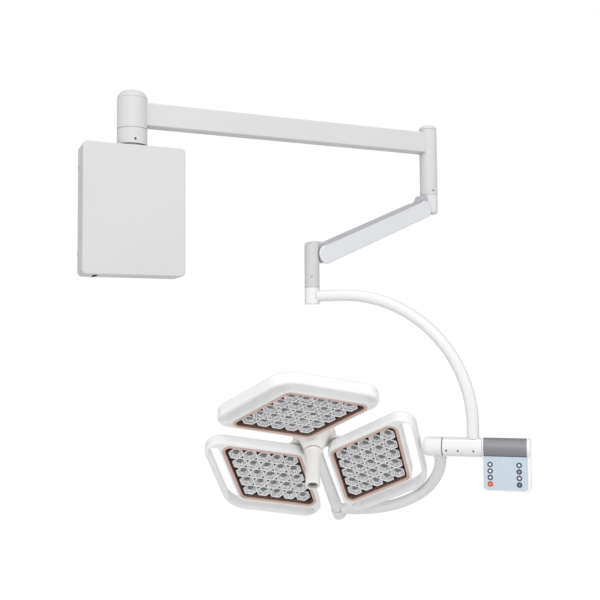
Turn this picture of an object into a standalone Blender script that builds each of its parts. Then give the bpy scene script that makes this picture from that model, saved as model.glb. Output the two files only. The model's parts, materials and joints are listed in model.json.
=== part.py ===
"""Wall-mounted surgical light with a swivelling main arm, a sprung arm and a three-panel LED head.

Metres, +Z up, +Y into the wall, +X along the wall. The origin is the centre of the wall plate's back face.
Every piece is made in the frame of the joint or limb that it belongs to and then placed by that frame.
"""

import math

import bmesh
import bpy
from mathutils import Matrix, Vector
from mathutils.geometry import tessellate_polygon

GAP = 0.0003  # clearance between pieces that touch

# Wall box
BOX_WIDTH, BOX_DEPTH, BOX_HEIGHT = 0.260, 0.080, 0.332
BOX_TOP = BOX_HEIGHT / 2
BOX_CORNER = 0.012
BOX_EDGE = 0.004
COVER_WALL = 0.002
PLATE_THICKNESS = 0.003
SLOT_X, SLOT_WIDTH = -0.094, 0.010
SLOT_BACK, SLOT_FRONT = -0.012, -0.068

# Post on the wall box and main arm
POST_Y = -0.0405
POST_RADIUS = 0.0385
NECK_RADIUS = 0.030
SPINDLE_RADIUS = 0.0175
POST_BOTTOM, POST_SEAM = BOX_TOP + 0.0045, 0.212
HUB_TOP, POST_CAP_TOP = 0.291, 0.310
MAIN_ARM_LENGTH = 0.880
BEAM_BOTTOM, BEAM_TOP = 0.222, 0.282
BEAM_WIDTH, BEAM_WALL = 0.038, 0.003
COLUMN_RADIUS = 0.0255
COLUMN_BOTTOM, COLUMN_TOP, COLUMN_CAP_TOP = 0.0965, 0.292, 0.3055

# Spring arm
SPRING_AZIMUTH = math.radians(197.5)
SPRING_DROOP = math.radians(22.0)
SPRING_LENGTH = 0.4197
UPPER_PIVOT_OFFSET, UPPER_PIVOT_Z = 0.042, 0.0500  # the pivot stands in front of the column's axis
ARM_HALF_WIDTH, ARM_HALF_HEIGHT = 0.025, 0.0245
ARM_WALL = 0.0035
TONGUE_HALF_WIDTH = 0.014
PIN_RADIUS = 0.0045
LINK_DROP, LINK_PIN_RADIUS, LINK_HALF_HEIGHT = 0.0145, 0.0025, 0.0045
LINK_INNER, LINK_OUTER = 0.0160, 0.0200
KNUCKLE_BOTTOM = 0.0425
TONGUE_NOSE = 0.0205
KNUCKLE_SPINDLE_RADIUS = 0.012

# Elbow and C-shaped arm
ELBOW_OFFSET = 0.031
ELBOW_RADIUS, ELBOW_CORNER = 0.0193, 0.024
ELBOW_TOP, ELBOW_BOTTOM = -0.0735, -0.194
SWIVEL_BOTTOM = -0.238
C_AZIMUTH = math.radians(-41.0)
C_TUBE_RADIUS = 0.0147
C_TUBE_Z = -0.216
C_STRAIGHT, C_BEND = 0.078, 0.326
HEAD_Z = -0.593

# Sleeve and control unit at the foot of the C-shaped arm, measured along the sleeve from the head's centre
SLEEVE_RADIUS = 0.0235
CAP_START, SLEEVE_START, SLEEVE_END = 0.2850, 0.3313, 0.4262
CONTROL_START, CONTROL_END = 0.4265, 0.5389
CONTROL_BOTTOM = -0.1008
CONTROL_FRONT, CONTROL_BACK = -0.0155, 0.0145
CHEEK = 0.0040
BUTTON_RADIUS = 0.0062
BUTTON_COLUMNS = (0.4445, 0.5120)
BUTTON_TOP, BUTTON_PITCH = -0.0385, 0.0153
BUTTON_NAMES = (
    ("lamp_up", "lamp_down", "mode", "power"),
    ("focus_wide", "focus_narrow", "warm_white", "cool_white"),
)

# Yoke and head
STEM_TILT = math.radians(42.4)  # the head's stem below the horizontal
HEAD_TURN = math.radians(-10.4)
YOKE_TUBE_RADIUS = 0.0145
YOKE_ROOT, YOKE_ROOT_DEPTH = 0.3150, 0.014  # where the tube leaves the cap, before it swells out to its reach
YOKE_REACH, YOKE_DEPTH = 0.320, 0.300
YOKE_BEND_ACROSS, YOKE_BEND_ALONG = 0.290, 0.280
STEM_RADIUS, STEM_SEAM, STEM_END = 0.0138, 0.2985, 0.335
STEM_SLEEVE_RADIUS = 0.0168
HUB_RADIUS = 0.0370
HUB_BACK, HUB_FRONT = -0.050, 0.024
HANDLE_RADIUS, HANDLE_BORE, HANDLE_END = 0.0183, 0.0130, 0.131

# Light panels: rhombi round the hub, dished towards the middle
PANEL_COUNT = 3
PANEL_DISTANCE, PANEL_LIFT = 0.1526, 0.0342
PANEL_DISH = math.radians(8.3)
PANEL_HALF_SHORT, PANEL_HALF_LONG = 0.1106, 0.1853
PANEL_DEPTH = 0.034
HOUSING_RIM, LOOP_OUTER, LOOP_INNER = 0.0080, 0.0437, 0.0322
SHELL_RADII = (0.082, 0.039, 0.030)  # the far, the side and the near corners
BEZEL_RADII = (0.0180, 0.0150, 0.0180)
POCKET_DEPTH = 0.0245
SLOT_END = -0.013
BEZEL_WIDTH, BEZEL_SEAT = 0.0072, 0.0030
LENS_ROWS, LENS_PITCH, LENS_ACROSS = 5, 0.0362, 0.0350
LENS_TOP, LENS_SHEET = -0.0060, -0.0185

SMOOTH_ANGLE = math.radians(35)


def clear_scene():
    for obj in list(bpy.data.objects):
        bpy.data.objects.remove(obj, do_unlink=True)


def material(name, colour, roughness, metallic=0.0):
    mat = bpy.data.materials.new(name)
    mat.use_nodes = True
    shader = mat.node_tree.nodes["Principled BSDF"]
    shader.inputs["Base Color"].default_value = (*colour, 1.0)
    shader.inputs["Roughness"].default_value = roughness
    shader.inputs["Metallic"].default_value = metallic
    mat.diffuse_color = (*colour, 1.0)
    return mat


# ---- meshes -------------------------------------------------------------------------------------


def mesh_of(bm):
    """A mesh of the bmesh, with its faces turned out and its round faces smooth."""
    bmesh.ops.recalc_face_normals(bm, faces=bm.faces)
    if bm.calc_volume(signed=True) < 0:
        bmesh.ops.reverse_faces(bm, faces=bm.faces)
    mesh = bpy.data.meshes.new("shape")
    bm.to_mesh(mesh)
    bm.free()
    return mesh


def loft(rings):
    """A closed body through rings of equally many points, with a flat face over each end."""
    bm = bmesh.new()
    rows = [[bm.verts.new(point) for point in ring] for ring in rings]
    for low, high in zip(rows, rows[1:]):
        for i in range(len(low)):
            j = (i + 1) % len(low)
            bm.faces.new((low[i], low[j], high[j], high[i]))
    for row in (rows[0], rows[-1]):
        for a, b, c in tessellate_polygon([[v.co for v in row]]):
            bm.faces.new((row[a], row[b], row[c]))
    return mesh_of(bm)


def turned(profile, segments=32):
    """A body turned round Z. The profile is (radius, z) points; it closes on itself when no end is on the axis."""
    bm = bmesh.new()
    rows = []
    for radius, z in profile:
        if radius < 1e-6:
            rows.append([bm.verts.new((0, 0, z))])
            continue
        angles = [2 * math.pi * i / segments for i in range(segments)]
        rows.append([bm.verts.new((radius * math.cos(a), radius * math.sin(a), z)) for a in angles])
    pairs = list(zip(rows, rows[1:]))
    if len(rows[0]) > 1 and len(rows[-1]) > 1:
        pairs.append((rows[-1], rows[0]))
    for low, high in pairs:
        for i in range(segments):
            j = (i + 1) % segments
            if len(low) == 1:
                bm.faces.new((low[0], high[j], high[i]))
            elif len(high) == 1:
                bm.faces.new((low[i], low[j], high[0]))
            else:
                bm.faces.new((low[i], low[j], high[j], high[i]))
    return mesh_of(bm)


def rod(radius, start, end, segments=32, edge=0.0):
    """A round bar along Z with a small chamfer on both ends."""
    if not edge:
        return turned([(0, start), (radius, start), (radius, end), (0, end)], segments)
    profile = [(0, start), (radius - edge, start), (radius, start + edge)]
    profile += [(radius, end - edge), (radius - edge, end), (0, end)]
    return turned(profile, segments)


def pipe(outer, inner, start, end, segments=32):
    return turned([(inner, start), (outer, start), (outer, end), (inner, end)], segments)


def rounded_outline(corners, radii, steps=4):
    """The outline of a polygon, given anticlockwise, with each corner rounded to its own radius."""
    points = []
    count = len(corners)
    for i, (x, y) in enumerate(corners):
        here = Vector((x, y))
        before = (Vector(corners[i - 1]) - here).normalized()
        after = (Vector(corners[(i + 1) % count]) - here).normalized()
        half = before.angle(after) / 2
        centre = here + (before + after).normalized() * radii[i] / math.sin(half)
        start = here + before * radii[i] / math.tan(half) - centre
        end = here + after * radii[i] / math.tan(half) - centre
        sweep = start.angle_signed(end)
        for k in range(steps + 1):
            turn = Matrix.Rotation(-sweep * k / steps, 2)
            points.append(centre + turn @ start)
    return points


def rectangle(x0, x1, y0, y1):
    return [(x0, y0), (x1, y0), (x1, y1), (x0, y1)]


def at_height(points, z):
    return [(x, y, z) for x, y in points]


def slab(corners, radius, start, end, edge=0.0, steps=3):
    """A rounded outline extruded along Z, with a chamfer of the given size on both faces."""
    radii = [radius] * len(corners)
    outline = rounded_outline(corners, radii, steps)
    if not edge:
        return loft([at_height(outline, start), at_height(outline, end)])
    middle = Vector((sum(x for x, _ in corners), sum(y for _, y in corners))) / len(corners)
    inner = []
    for x, y in corners:
        inner.append((x - math.copysign(edge, x - middle.x), y - math.copysign(edge, y - middle.y)))
    small = rounded_outline(inner, [radius - edge * 0.6] * len(corners), steps)
    rings = [at_height(small, start), at_height(outline, start + edge)]
    rings += [at_height(outline, end - edge), at_height(small, end)]
    return loft(rings)


def block(x0, x1, y0, y1, z0, z1):
    return slab(rectangle(x0, x1, y0, y1), min(x1 - x0, y1 - y0) * 0.02, z0, z1, steps=1)


def swept(points, radius, segments=12):
    """A round bar along a curve that lies in the XZ plane."""
    rings = []
    for i, point in enumerate(points):
        before, after = points[max(i - 1, 0)], points[min(i + 1, len(points) - 1)]
        along = (Vector(after) - Vector(before)).normalized()
        side = Vector((0, 1, 0))
        across = side.cross(along)
        ring = []
        for k in range(segments):
            a = 2 * math.pi * k / segments
            ring.append(Vector(point) + radius * (math.cos(a) * across + math.sin(a) * side))
        rings.append(ring)
    return loft(rings)


def moved(mesh, matrix):
    mesh.transform(matrix)
    return mesh


def boolean(base, tool, operation):
    """The exact Boolean of two meshes, as a new mesh."""
    keep = bpy.data.objects.new("base", base)
    other = bpy.data.objects.new("tool", tool)
    for obj in (keep, other):
        bpy.context.scene.collection.objects.link(obj)
    modifier = keep.modifiers.new("Boolean", "BOOLEAN")
    modifier.operation = operation
    modifier.solver = "EXACT"
    modifier.object = other
    graph = bpy.context.evaluated_depsgraph_get()
    result = bpy.data.meshes.new_from_object(keep.evaluated_get(graph))
    for obj in (keep, other):
        bpy.data.objects.remove(obj, do_unlink=True)
    return result


def cut(base, *tools):
    for tool in tools:
        base = boolean(base, tool, "DIFFERENCE")
    return base


def join(base, *tools):
    for tool in tools:
        base = boolean(base, tool, "UNION")
    return base


def place(name, mesh, mat, matrix=None):
    """Makes the named object that stands for one piece."""
    mesh.name = name
    mesh.materials.clear()
    mesh.materials.append(mat)
    mesh.shade_smooth()
    mesh.set_sharp_from_angle(angle=SMOOTH_ANGLE)
    obj = bpy.data.objects.new(name, mesh)
    obj.matrix_world = matrix or Matrix.Identity(4)
    bpy.context.scene.collection.objects.link(obj)
    return obj


# ---- frames -------------------------------------------------------------------------------------


def axes_frame(origin, x_axis, z_axis):
    """A frame from its origin, its X axis and its Z axis."""
    x = Vector(x_axis).normalized()
    z = Vector(z_axis).normalized()
    y = z.cross(x)
    matrix = Matrix((x, y, z)).transposed().to_4x4()
    matrix.translation = Vector(origin)
    return matrix


def heading(azimuth):
    return Vector((math.cos(azimuth), math.sin(azimuth), 0))


UP = Vector((0, 0, 1))
POST_FRAME = Matrix.Translation((0, POST_Y, 0))
COLUMN_FRAME = Matrix.Translation((MAIN_ARM_LENGTH, POST_Y, 0))
SPRING_HEADING = heading(SPRING_AZIMUTH)
UPPER_PIVOT = COLUMN_FRAME.translation + UPPER_PIVOT_OFFSET * SPRING_HEADING + UPPER_PIVOT_Z * UP
KNUCKLE_FRAME = axes_frame(UPPER_PIVOT, SPRING_HEADING, UP)
ARM_FRAME = KNUCKLE_FRAME @ Matrix.Rotation(SPRING_DROOP, 4, "Y")
LOWER_PIVOT = ARM_FRAME @ Vector((SPRING_LENGTH, 0, 0))
TONGUE_FRAME = axes_frame(LOWER_PIVOT, SPRING_HEADING, UP)
ELBOW_AXIS = LOWER_PIVOT + ELBOW_OFFSET * SPRING_HEADING
ELBOW_FRAME = Matrix.Translation((ELBOW_AXIS.x, ELBOW_AXIS.y, 0))
HEAD_CENTRE = Vector((ELBOW_AXIS.x, ELBOW_AXIS.y, HEAD_Z))
C_HEADING = heading(C_AZIMUTH)
C_FRAME = axes_frame(HEAD_CENTRE, C_HEADING, UP)
SLEEVE_FRAME = C_FRAME @ Matrix.Rotation(math.pi / 2, 4, "Y")  # Z along the sleeve
STEM = UP.cross(C_HEADING) * math.cos(STEM_TILT) - UP * math.sin(STEM_TILT)
YOKE_FRAME = axes_frame(HEAD_CENTRE, C_HEADING, -STEM)
STEM_FRAME = YOKE_FRAME @ Matrix.Rotation(math.pi, 4, "X")  # Z along the stem
LIGHT = C_HEADING.cross(STEM) if C_HEADING.cross(STEM).z < 0 else STEM.cross(C_HEADING)
TURN = Matrix.Rotation(HEAD_TURN, 3, STEM)
HEAD_FRAME = axes_frame(HEAD_CENTRE, TURN @ C_HEADING, TURN @ LIGHT)  # Z the way the light shines


def panel_frame(index):
    """A panel's frame: X outwards along the panel, Z out of its lit face."""
    turn = Matrix.Rotation(math.pi / 2 + index * 2 * math.pi / PANEL_COUNT, 4, "Z")
    shift = Matrix.Translation((PANEL_DISTANCE, 0, PANEL_LIFT))
    return HEAD_FRAME @ turn @ shift @ Matrix.Rotation(-PANEL_DISH, 4, "Y")


# ---- wall unit ----------------------------------------------------------------------------------

WALL_FRAME = axes_frame((0, 0, 0), (1, 0, 0), (0, -1, 0))  # X along the wall, Y up, Z out of the wall


def wall_cover_mesh():
    def ring(inset, out):
        half_w, half_h = BOX_WIDTH / 2 - inset, BOX_HEIGHT / 2 - inset
        corners = rectangle(-half_w, half_w, -half_h, half_h)
        return at_height(rounded_outline(corners, [max(BOX_CORNER - inset, 0.004)] * 4), out)

    outside = [ring(0, PLATE_THICKNESS + GAP), ring(0, BOX_DEPTH - BOX_EDGE)]
    outside += [ring(BOX_EDGE * 0.3, BOX_DEPTH - BOX_EDGE * 0.3), ring(BOX_EDGE, BOX_DEPTH)]
    inside = [ring(COVER_WALL, -0.010), ring(COVER_WALL, BOX_DEPTH - BOX_EDGE)]
    inside += [ring(BOX_EDGE + COVER_WALL, BOX_DEPTH - COVER_WALL)]
    slot = slab(
        rectangle(SLOT_X - SLOT_WIDTH / 2, SLOT_X + SLOT_WIDTH / 2, SLOT_FRONT, SLOT_BACK),
        SLOT_WIDTH * 0.49, -BOX_TOP - 0.01, -BOX_TOP + 0.01,
    )
    slot = moved(slot, WALL_FRAME.inverted())
    hole = moved(rod(NECK_RADIUS + GAP, 0.15, 0.18), WALL_FRAME.inverted() @ POST_FRAME)
    return cut(loft(outside), loft(inside), slot, hole)


def build_wall_unit(paint, steel, dark, rubber, bare):
    half_w, half_h = BOX_WIDTH / 2 - 0.004, BOX_HEIGHT / 2 - 0.004
    plate = slab(rectangle(-half_w, half_w, -half_h, half_h), 0.010, 0, PLATE_THICKNESS)
    bolt_places = [(x, y) for x in (-0.095, 0.095) for y in (-0.130, 0.020)]
    holes = [moved(rod(0.0045, -0.01, 0.02, 16), Matrix.Translation((x, y, 0))) for x, y in bolt_places]
    place("wall_plate", cut(plate, *holes), steel, WALL_FRAME)
    place("wall_cover", wall_cover_mesh(), paint, WALL_FRAME)

    bracket = slab(rectangle(-0.046, 0.046, -0.034, 0.034), 0.006, 0.055, BOX_TOP - COVER_WALL - GAP, 0.002)
    neck = rod(NECK_RADIUS, 0.10, POST_BOTTOM - GAP)
    place("post_bracket", join(bracket, neck), steel, POST_FRAME)

    supply = slab(rectangle(-0.040, 0.085, -0.120, 0.010), 0.003, PLATE_THICKNESS + GAP, 0.058, 0.002)
    place("power_supply", supply, bare, WALL_FRAME)
    terminals = slab(rectangle(-0.110, -0.055, -0.075, -0.050), 0.002, PLATE_THICKNESS + GAP, 0.026, 0.001)
    place("terminal_block", terminals, dark, WALL_FRAME)

    lip = slab(
        rectangle(
            SLOT_X - SLOT_WIDTH / 2 + GAP, SLOT_X + SLOT_WIDTH / 2 - GAP, SLOT_FRONT + GAP, SLOT_BACK - GAP
        ),
        SLOT_WIDTH * 0.46, -BOX_TOP - 0.0008, -BOX_TOP + 0.006,
    )
    throat = slab(
        rectangle(
            SLOT_X - SLOT_WIDTH / 2 + 0.0016, SLOT_X + SLOT_WIDTH / 2 - 0.0016,
            SLOT_FRONT + 0.0016, SLOT_BACK - 0.0016,
        ),
        SLOT_WIDTH * 0.33, -BOX_TOP - 0.01, -BOX_TOP + 0.01,
    )
    place("cable_grommet", cut(lip, throat), rubber)

    screw_hole_z = 0.181
    tip = 0.0220
    sideways = Matrix.Translation((0, 0, screw_hole_z)) @ Matrix.Rotation(math.pi / 2, 4, "X")
    bore = moved(rod(0.0034, tip - GAP, 0.06, 16), sideways)
    sleeve = pipe(POST_RADIUS, SPINDLE_RADIUS + GAP, POST_BOTTOM, POST_SEAM - 0.0012)
    place("post_sleeve", cut(sleeve, bore), paint, POST_FRAME)
    screw = cut(rod(0.0031, tip, POST_RADIUS - 0.0018, 16), slab(
        rectangle(-0.0013, 0.0013, -0.0013, 0.0013), 0.0002, POST_RADIUS - 0.0035, 0.06, steps=1
    ))
    place("post_brake_screw", moved(screw, sideways), dark, POST_FRAME)
    place("post_spindle", rod(SPINDLE_RADIUS, POST_BOTTOM, HUB_TOP - 0.006, 32, 0.001), steel, POST_FRAME)
    washer = pipe(POST_RADIUS - 0.0012, SPINDLE_RADIUS + GAP, POST_SEAM - 0.0009, POST_SEAM - GAP)
    place("thrust_washer", washer, bare, POST_FRAME)


# ---- main arm -----------------------------------------------------------------------------------


def build_main_arm(paint, dark):
    hub = pipe(POST_RADIUS, SPINDLE_RADIUS + GAP, POST_SEAM, HUB_TOP)
    place("main_arm_hub", hub, paint, POST_FRAME)
    cap = turned([
        (0, HUB_TOP + GAP), (POST_RADIUS, HUB_TOP + GAP), (POST_RADIUS, HUB_TOP + 0.002),
        (POST_RADIUS - 0.0025, HUB_TOP + 0.0085), (POST_RADIUS - 0.0090, POST_CAP_TOP - 0.0025),
        (POST_RADIUS - 0.0140, POST_CAP_TOP - 0.0008), (0, POST_CAP_TOP),
    ])
    place("post_cap", cap, paint, POST_FRAME)

    along_x = axes_frame((0, POST_Y, 0), (0, 1, 0), (1, 0, 0))  # Z along the arm, Y up
    half = BEAM_WIDTH / 2
    beam = slab(rectangle(-half, half, BEAM_BOTTOM, BEAM_TOP), 0.0040, 0, MAIN_ARM_LENGTH)
    inner = half - BEAM_WALL
    hollow = slab(
        rectangle(-inner, inner, BEAM_BOTTOM + BEAM_WALL, BEAM_TOP - BEAM_WALL), 0.002, -0.1, MAIN_ARM_LENGTH + 0.1
    )
    beam = moved(cut(beam, hollow), along_x)
    post = moved(rod(POST_RADIUS + GAP, 0.1, 0.4, 48), POST_FRAME)
    column = moved(rod(COLUMN_RADIUS + GAP, 0.0, 0.4, 48), COLUMN_FRAME)
    beyond = block(MAIN_ARM_LENGTH, MAIN_ARM_LENGTH + 0.1, -0.2, 0.2, 0.0, 0.4)
    behind = block(-0.1, 0.0, -0.2, 0.2, 0.0, 0.4)
    place("main_arm_beam", cut(beam, post, column, beyond, behind), paint)

    bore_top = 0.215
    solid = rod(COLUMN_RADIUS, COLUMN_BOTTOM, COLUMN_TOP)
    bore = rod(KNUCKLE_SPINDLE_RADIUS + GAP, COLUMN_BOTTOM - 0.01, bore_top)
    screw_z, tip = 0.1095, 0.0150
    sideways = Matrix.Translation((0, 0, screw_z)) @ Matrix.Rotation(math.pi / 2, 4, "X")
    screw_hole = moved(rod(0.0026, tip - GAP, 0.05, 16), sideways)
    place("column_tube", cut(solid, bore, screw_hole), paint, COLUMN_FRAME)
    cap = turned([
        (0, COLUMN_TOP + GAP), (COLUMN_RADIUS, COLUMN_TOP + GAP), (COLUMN_RADIUS, COLUMN_TOP + 0.003),
        (COLUMN_RADIUS - 0.0015, COLUMN_TOP + 0.0075), (COLUMN_RADIUS - 0.0055, COLUMN_CAP_TOP - 0.0030),
        (COLUMN_RADIUS - 0.0110, COLUMN_CAP_TOP - 0.0008), (0, COLUMN_CAP_TOP),
    ])
    place("column_cap", cap, paint, COLUMN_FRAME)


# ---- spring arm ---------------------------------------------------------------------------------

SIDEWAYS = Matrix.Rotation(-math.pi / 2, 4, "X")  # turns Z into Y, so a rod lies across the arm


def cross_rod(radius, y0, y1, x=0.0, z=0.0, segments=20):
    """A bar across the arm, from y0 to y1."""
    return moved(rod(radius, y0, y1, segments), Matrix.Translation((x, 0, z)) @ SIDEWAYS)


def cross_slab(corners, radius, y0, y1, edge=0.0, steps=4):
    """A rounded outline in the arm's XZ plane, extruded across it from y0 to y1."""
    flipped = [(x, -z) for x, z in reversed(corners)]
    return moved(slab(flipped, radius, y0, y1, edge, steps), SIDEWAYS)


def link_stub(x=0.0, z=-LINK_DROP):
    """The stub on a tongue that the levelling bar's eye turns on."""
    return cross_rod(LINK_PIN_RADIUS, TONGUE_HALF_WIDTH - 0.002, LINK_OUTER + 0.0008, x, z, 16)


def build_knuckle(paint, steel):
    r = COLUMN_RADIUS
    low, high = KNUCKLE_BOTTOM - UPPER_PIVOT_Z, COLUMN_BOTTOM - GAP - UPPER_PIVOT_Z
    barrel = turned([
        (0, low), (r - 0.0060, low), (r - 0.0018, low + 0.0018), (r, low + 0.0060), (r, high - 0.0006),
        (r - 0.0006, high), (0, high),
    ])
    barrel = moved(barrel, Matrix.Translation((-UPPER_PIVOT_OFFSET, 0, 0)))
    side = [
        (-UPPER_PIVOT_OFFSET, low + 0.0010), (-0.0040, -TONGUE_NOSE), (0.0166, 0.0120), (0.0125, 0.0220),
        (-0.0010, high - 0.0040), (-UPPER_PIVOT_OFFSET, high - 0.0040),
    ]
    tongue = cross_slab(side, 0.0010, -TONGUE_HALF_WIDTH, TONGUE_HALF_WIDTH, steps=1)
    nose = cross_rod(TONGUE_NOSE, -TONGUE_HALF_WIDTH, TONGUE_HALF_WIDTH, segments=32)
    body = cut(join(barrel, tongue, nose), cross_rod(PIN_RADIUS + GAP, -0.05, 0.05))
    place("upper_knuckle", join(body, link_stub()), paint, KNUCKLE_FRAME)
    place("knuckle_spindle", rod(KNUCKLE_SPINDLE_RADIUS, COLUMN_BOTTOM, 0.205, 24, 0.001), steel, COLUMN_FRAME)


def build_spring_arm(paint, steel, dark):
    height, inner = ARM_HALF_HEIGHT, ARM_HALF_WIDTH - ARM_WALL
    outline = rectangle(-height, SPRING_LENGTH + height, -height, height)
    shell = cross_slab(outline, height * 0.98, -ARM_HALF_WIDTH, ARM_HALF_WIDTH, 0.0022, 5)
    channel = block(-0.1, SPRING_LENGTH + 0.1, -inner, inner, -0.1, height - ARM_WALL)
    upper_mouth = block(-0.1, 0.036, -inner, inner, -0.1, 0.1)
    lower_mouth = block(SPRING_LENGTH - 0.036, SPRING_LENGTH + 0.1, -inner, inner, -0.1, 0.1)
    pin_holes = [
        cross_rod(PIN_RADIUS + GAP, -0.05, ARM_HALF_WIDTH - 0.0015, x) for x in (0.0, SPRING_LENGTH)
    ]
    place("spring_arm_shell", cut(shell, channel, upper_mouth, lower_mouth, *pin_holes), paint, ARM_FRAME)
    cover = slab(
        rectangle(0.038, SPRING_LENGTH - 0.040, -inner + GAP, inner - GAP), 0.002, -height, -height + 0.0025
    )
    place("spring_arm_cover", cover, paint, ARM_FRAME)
    for name, x in (("upper_pivot_pin", 0.0), ("lower_pivot_pin", SPRING_LENGTH)):
        pin = cross_rod(PIN_RADIUS, -ARM_HALF_WIDTH + 0.0010, ARM_HALF_WIDTH - 0.0018, x)
        place(name, pin, steel, ARM_FRAME)

    rod_y = -0.0020
    place("spring_rod", moved(
        rod(0.0040, 0.050, 0.372, 16), Matrix.Translation((0, rod_y, 0.004)) @ Matrix.Rotation(math.pi / 2, 4, "Y")
    ), steel, ARM_FRAME)
    turns, per_turn, start, pitch, coil, wire = 9, 9, 0.075, 0.0285, 0.0105, 0.0021
    rings = []
    for i in range(turns * per_turn + 1):
        a = 2 * math.pi * i / per_turn
        centre = Vector((start + pitch * i / per_turn, rod_y + coil * math.cos(a), 0.004 + coil * math.sin(a)))
        out = Vector((0, math.cos(a), math.sin(a)))
        along = Vector((1, 0, 0))
        rings.append([
            centre + wire * (math.cos(b) * out + math.sin(b) * along)
            for b in (math.tau * k / 5 for k in range(5))
        ])
    place("balance_spring", loft(rings), dark, ARM_FRAME)

    half = LINK_HALF_HEIGHT
    bar = cross_slab(rectangle(-0.0060, SPRING_LENGTH + 0.0060, -half, half), half * 0.97, LINK_INNER, LINK_OUTER)
    eyes = [cross_rod(LINK_PIN_RADIUS + GAP, 0.0, 0.05, x, 0.0, 16) for x in (0.0, SPRING_LENGTH)]
    link_frame = Matrix.Translation((0, 0, -LINK_DROP)) @ ARM_FRAME
    place("levelling_bar", cut(bar, *eyes), steel, link_frame)


# ---- elbow and C-shaped arm ---------------------------------------------------------------------


def build_elbow(paint, steel):
    top, bottom = ELBOW_TOP - LOWER_PIVOT.z, ELBOW_BOTTOM + GAP / 2 - LOWER_PIVOT.z
    r = ELBOW_RADIUS
    barrel = turned([(0, bottom), (r, bottom), (r, top - 0.0008), (r - 0.0008, top), (0, top)])
    barrel = moved(barrel, Matrix.Translation((ELBOW_OFFSET, 0, 0)))
    reach = 0.0215
    tongue = cross_slab(
        rectangle(-reach, ELBOW_OFFSET, -reach, top - 0.0006), reach * 0.97, -TONGUE_HALF_WIDTH, TONGUE_HALF_WIDTH,
        steps=6,
    )
    bridge = block(0.0, ELBOW_OFFSET, -TONGUE_HALF_WIDTH, TONGUE_HALF_WIDTH, -reach, top - 0.0006)
    envelope = cross_slab(rectangle(-0.1, ELBOW_OFFSET + r + 0.0003, -0.2, top), ELBOW_CORNER, -0.05, 0.05, steps=6)
    body = boolean(join(barrel, tongue, bridge), envelope, "INTERSECT")
    body = cut(body, cross_rod(PIN_RADIUS + GAP, -0.05, 0.05))
    place("elbow_housing", join(body, link_stub()), paint, TONGUE_FRAME)
    place("elbow_spindle", rod(0.0090, SWIVEL_BOTTOM + 0.006, ELBOW_BOTTOM - GAP / 2, 20), steel, ELBOW_FRAME)


def c_tube_points(steps=16):
    height = C_TUBE_Z - HEAD_Z
    points = [(0.004, 0, height), (C_STRAIGHT * 0.5, 0, height)]
    for k in range(steps + 1):
        a = math.pi / 2 * k / steps
        points.append((C_STRAIGHT + C_BEND * math.sin(a), 0, height - C_BEND * (1 - math.cos(a))))
    points.append((C_STRAIGHT + C_BEND, 0, 0.0))
    return points


def build_c_arm(paint, steel):
    top = ELBOW_BOTTOM - GAP
    r = ELBOW_RADIUS + 0.0004
    sleeve = cut(
        turned([
            (0, SWIVEL_BOTTOM), (r - 0.003, SWIVEL_BOTTOM), (r, SWIVEL_BOTTOM + 0.0025), (r, top), (0, top),
        ]),
        rod(0.0093, SWIVEL_BOTTOM + 0.005, top + 0.01, 20),
    )
    place("swivel_sleeve", sleeve, paint, ELBOW_FRAME)
    around_elbow = rod(r + GAP, -0.1, 0.6, 48)
    along_sleeve = moved(rod(SLEEVE_RADIUS + GAP, 0.0, 0.6, 48), Matrix.Rotation(math.pi / 2, 4, "Y"))
    below = block(0.2, 0.6, -0.1, 0.1, -0.1, 0.001)
    tube = cut(swept(c_tube_points(), C_TUBE_RADIUS), around_elbow, along_sleeve, below)
    place("c_arm_tube", tube, paint, C_FRAME)
    bore_end = 0.400
    outer = rod(SLEEVE_RADIUS, SLEEVE_START, SLEEVE_END, 32, 0.0008)
    bore = rod(0.0125, SLEEVE_START - 0.01, bore_end, 24)
    place("horizontal_sleeve", cut(outer, bore), paint, SLEEVE_FRAME)


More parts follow.
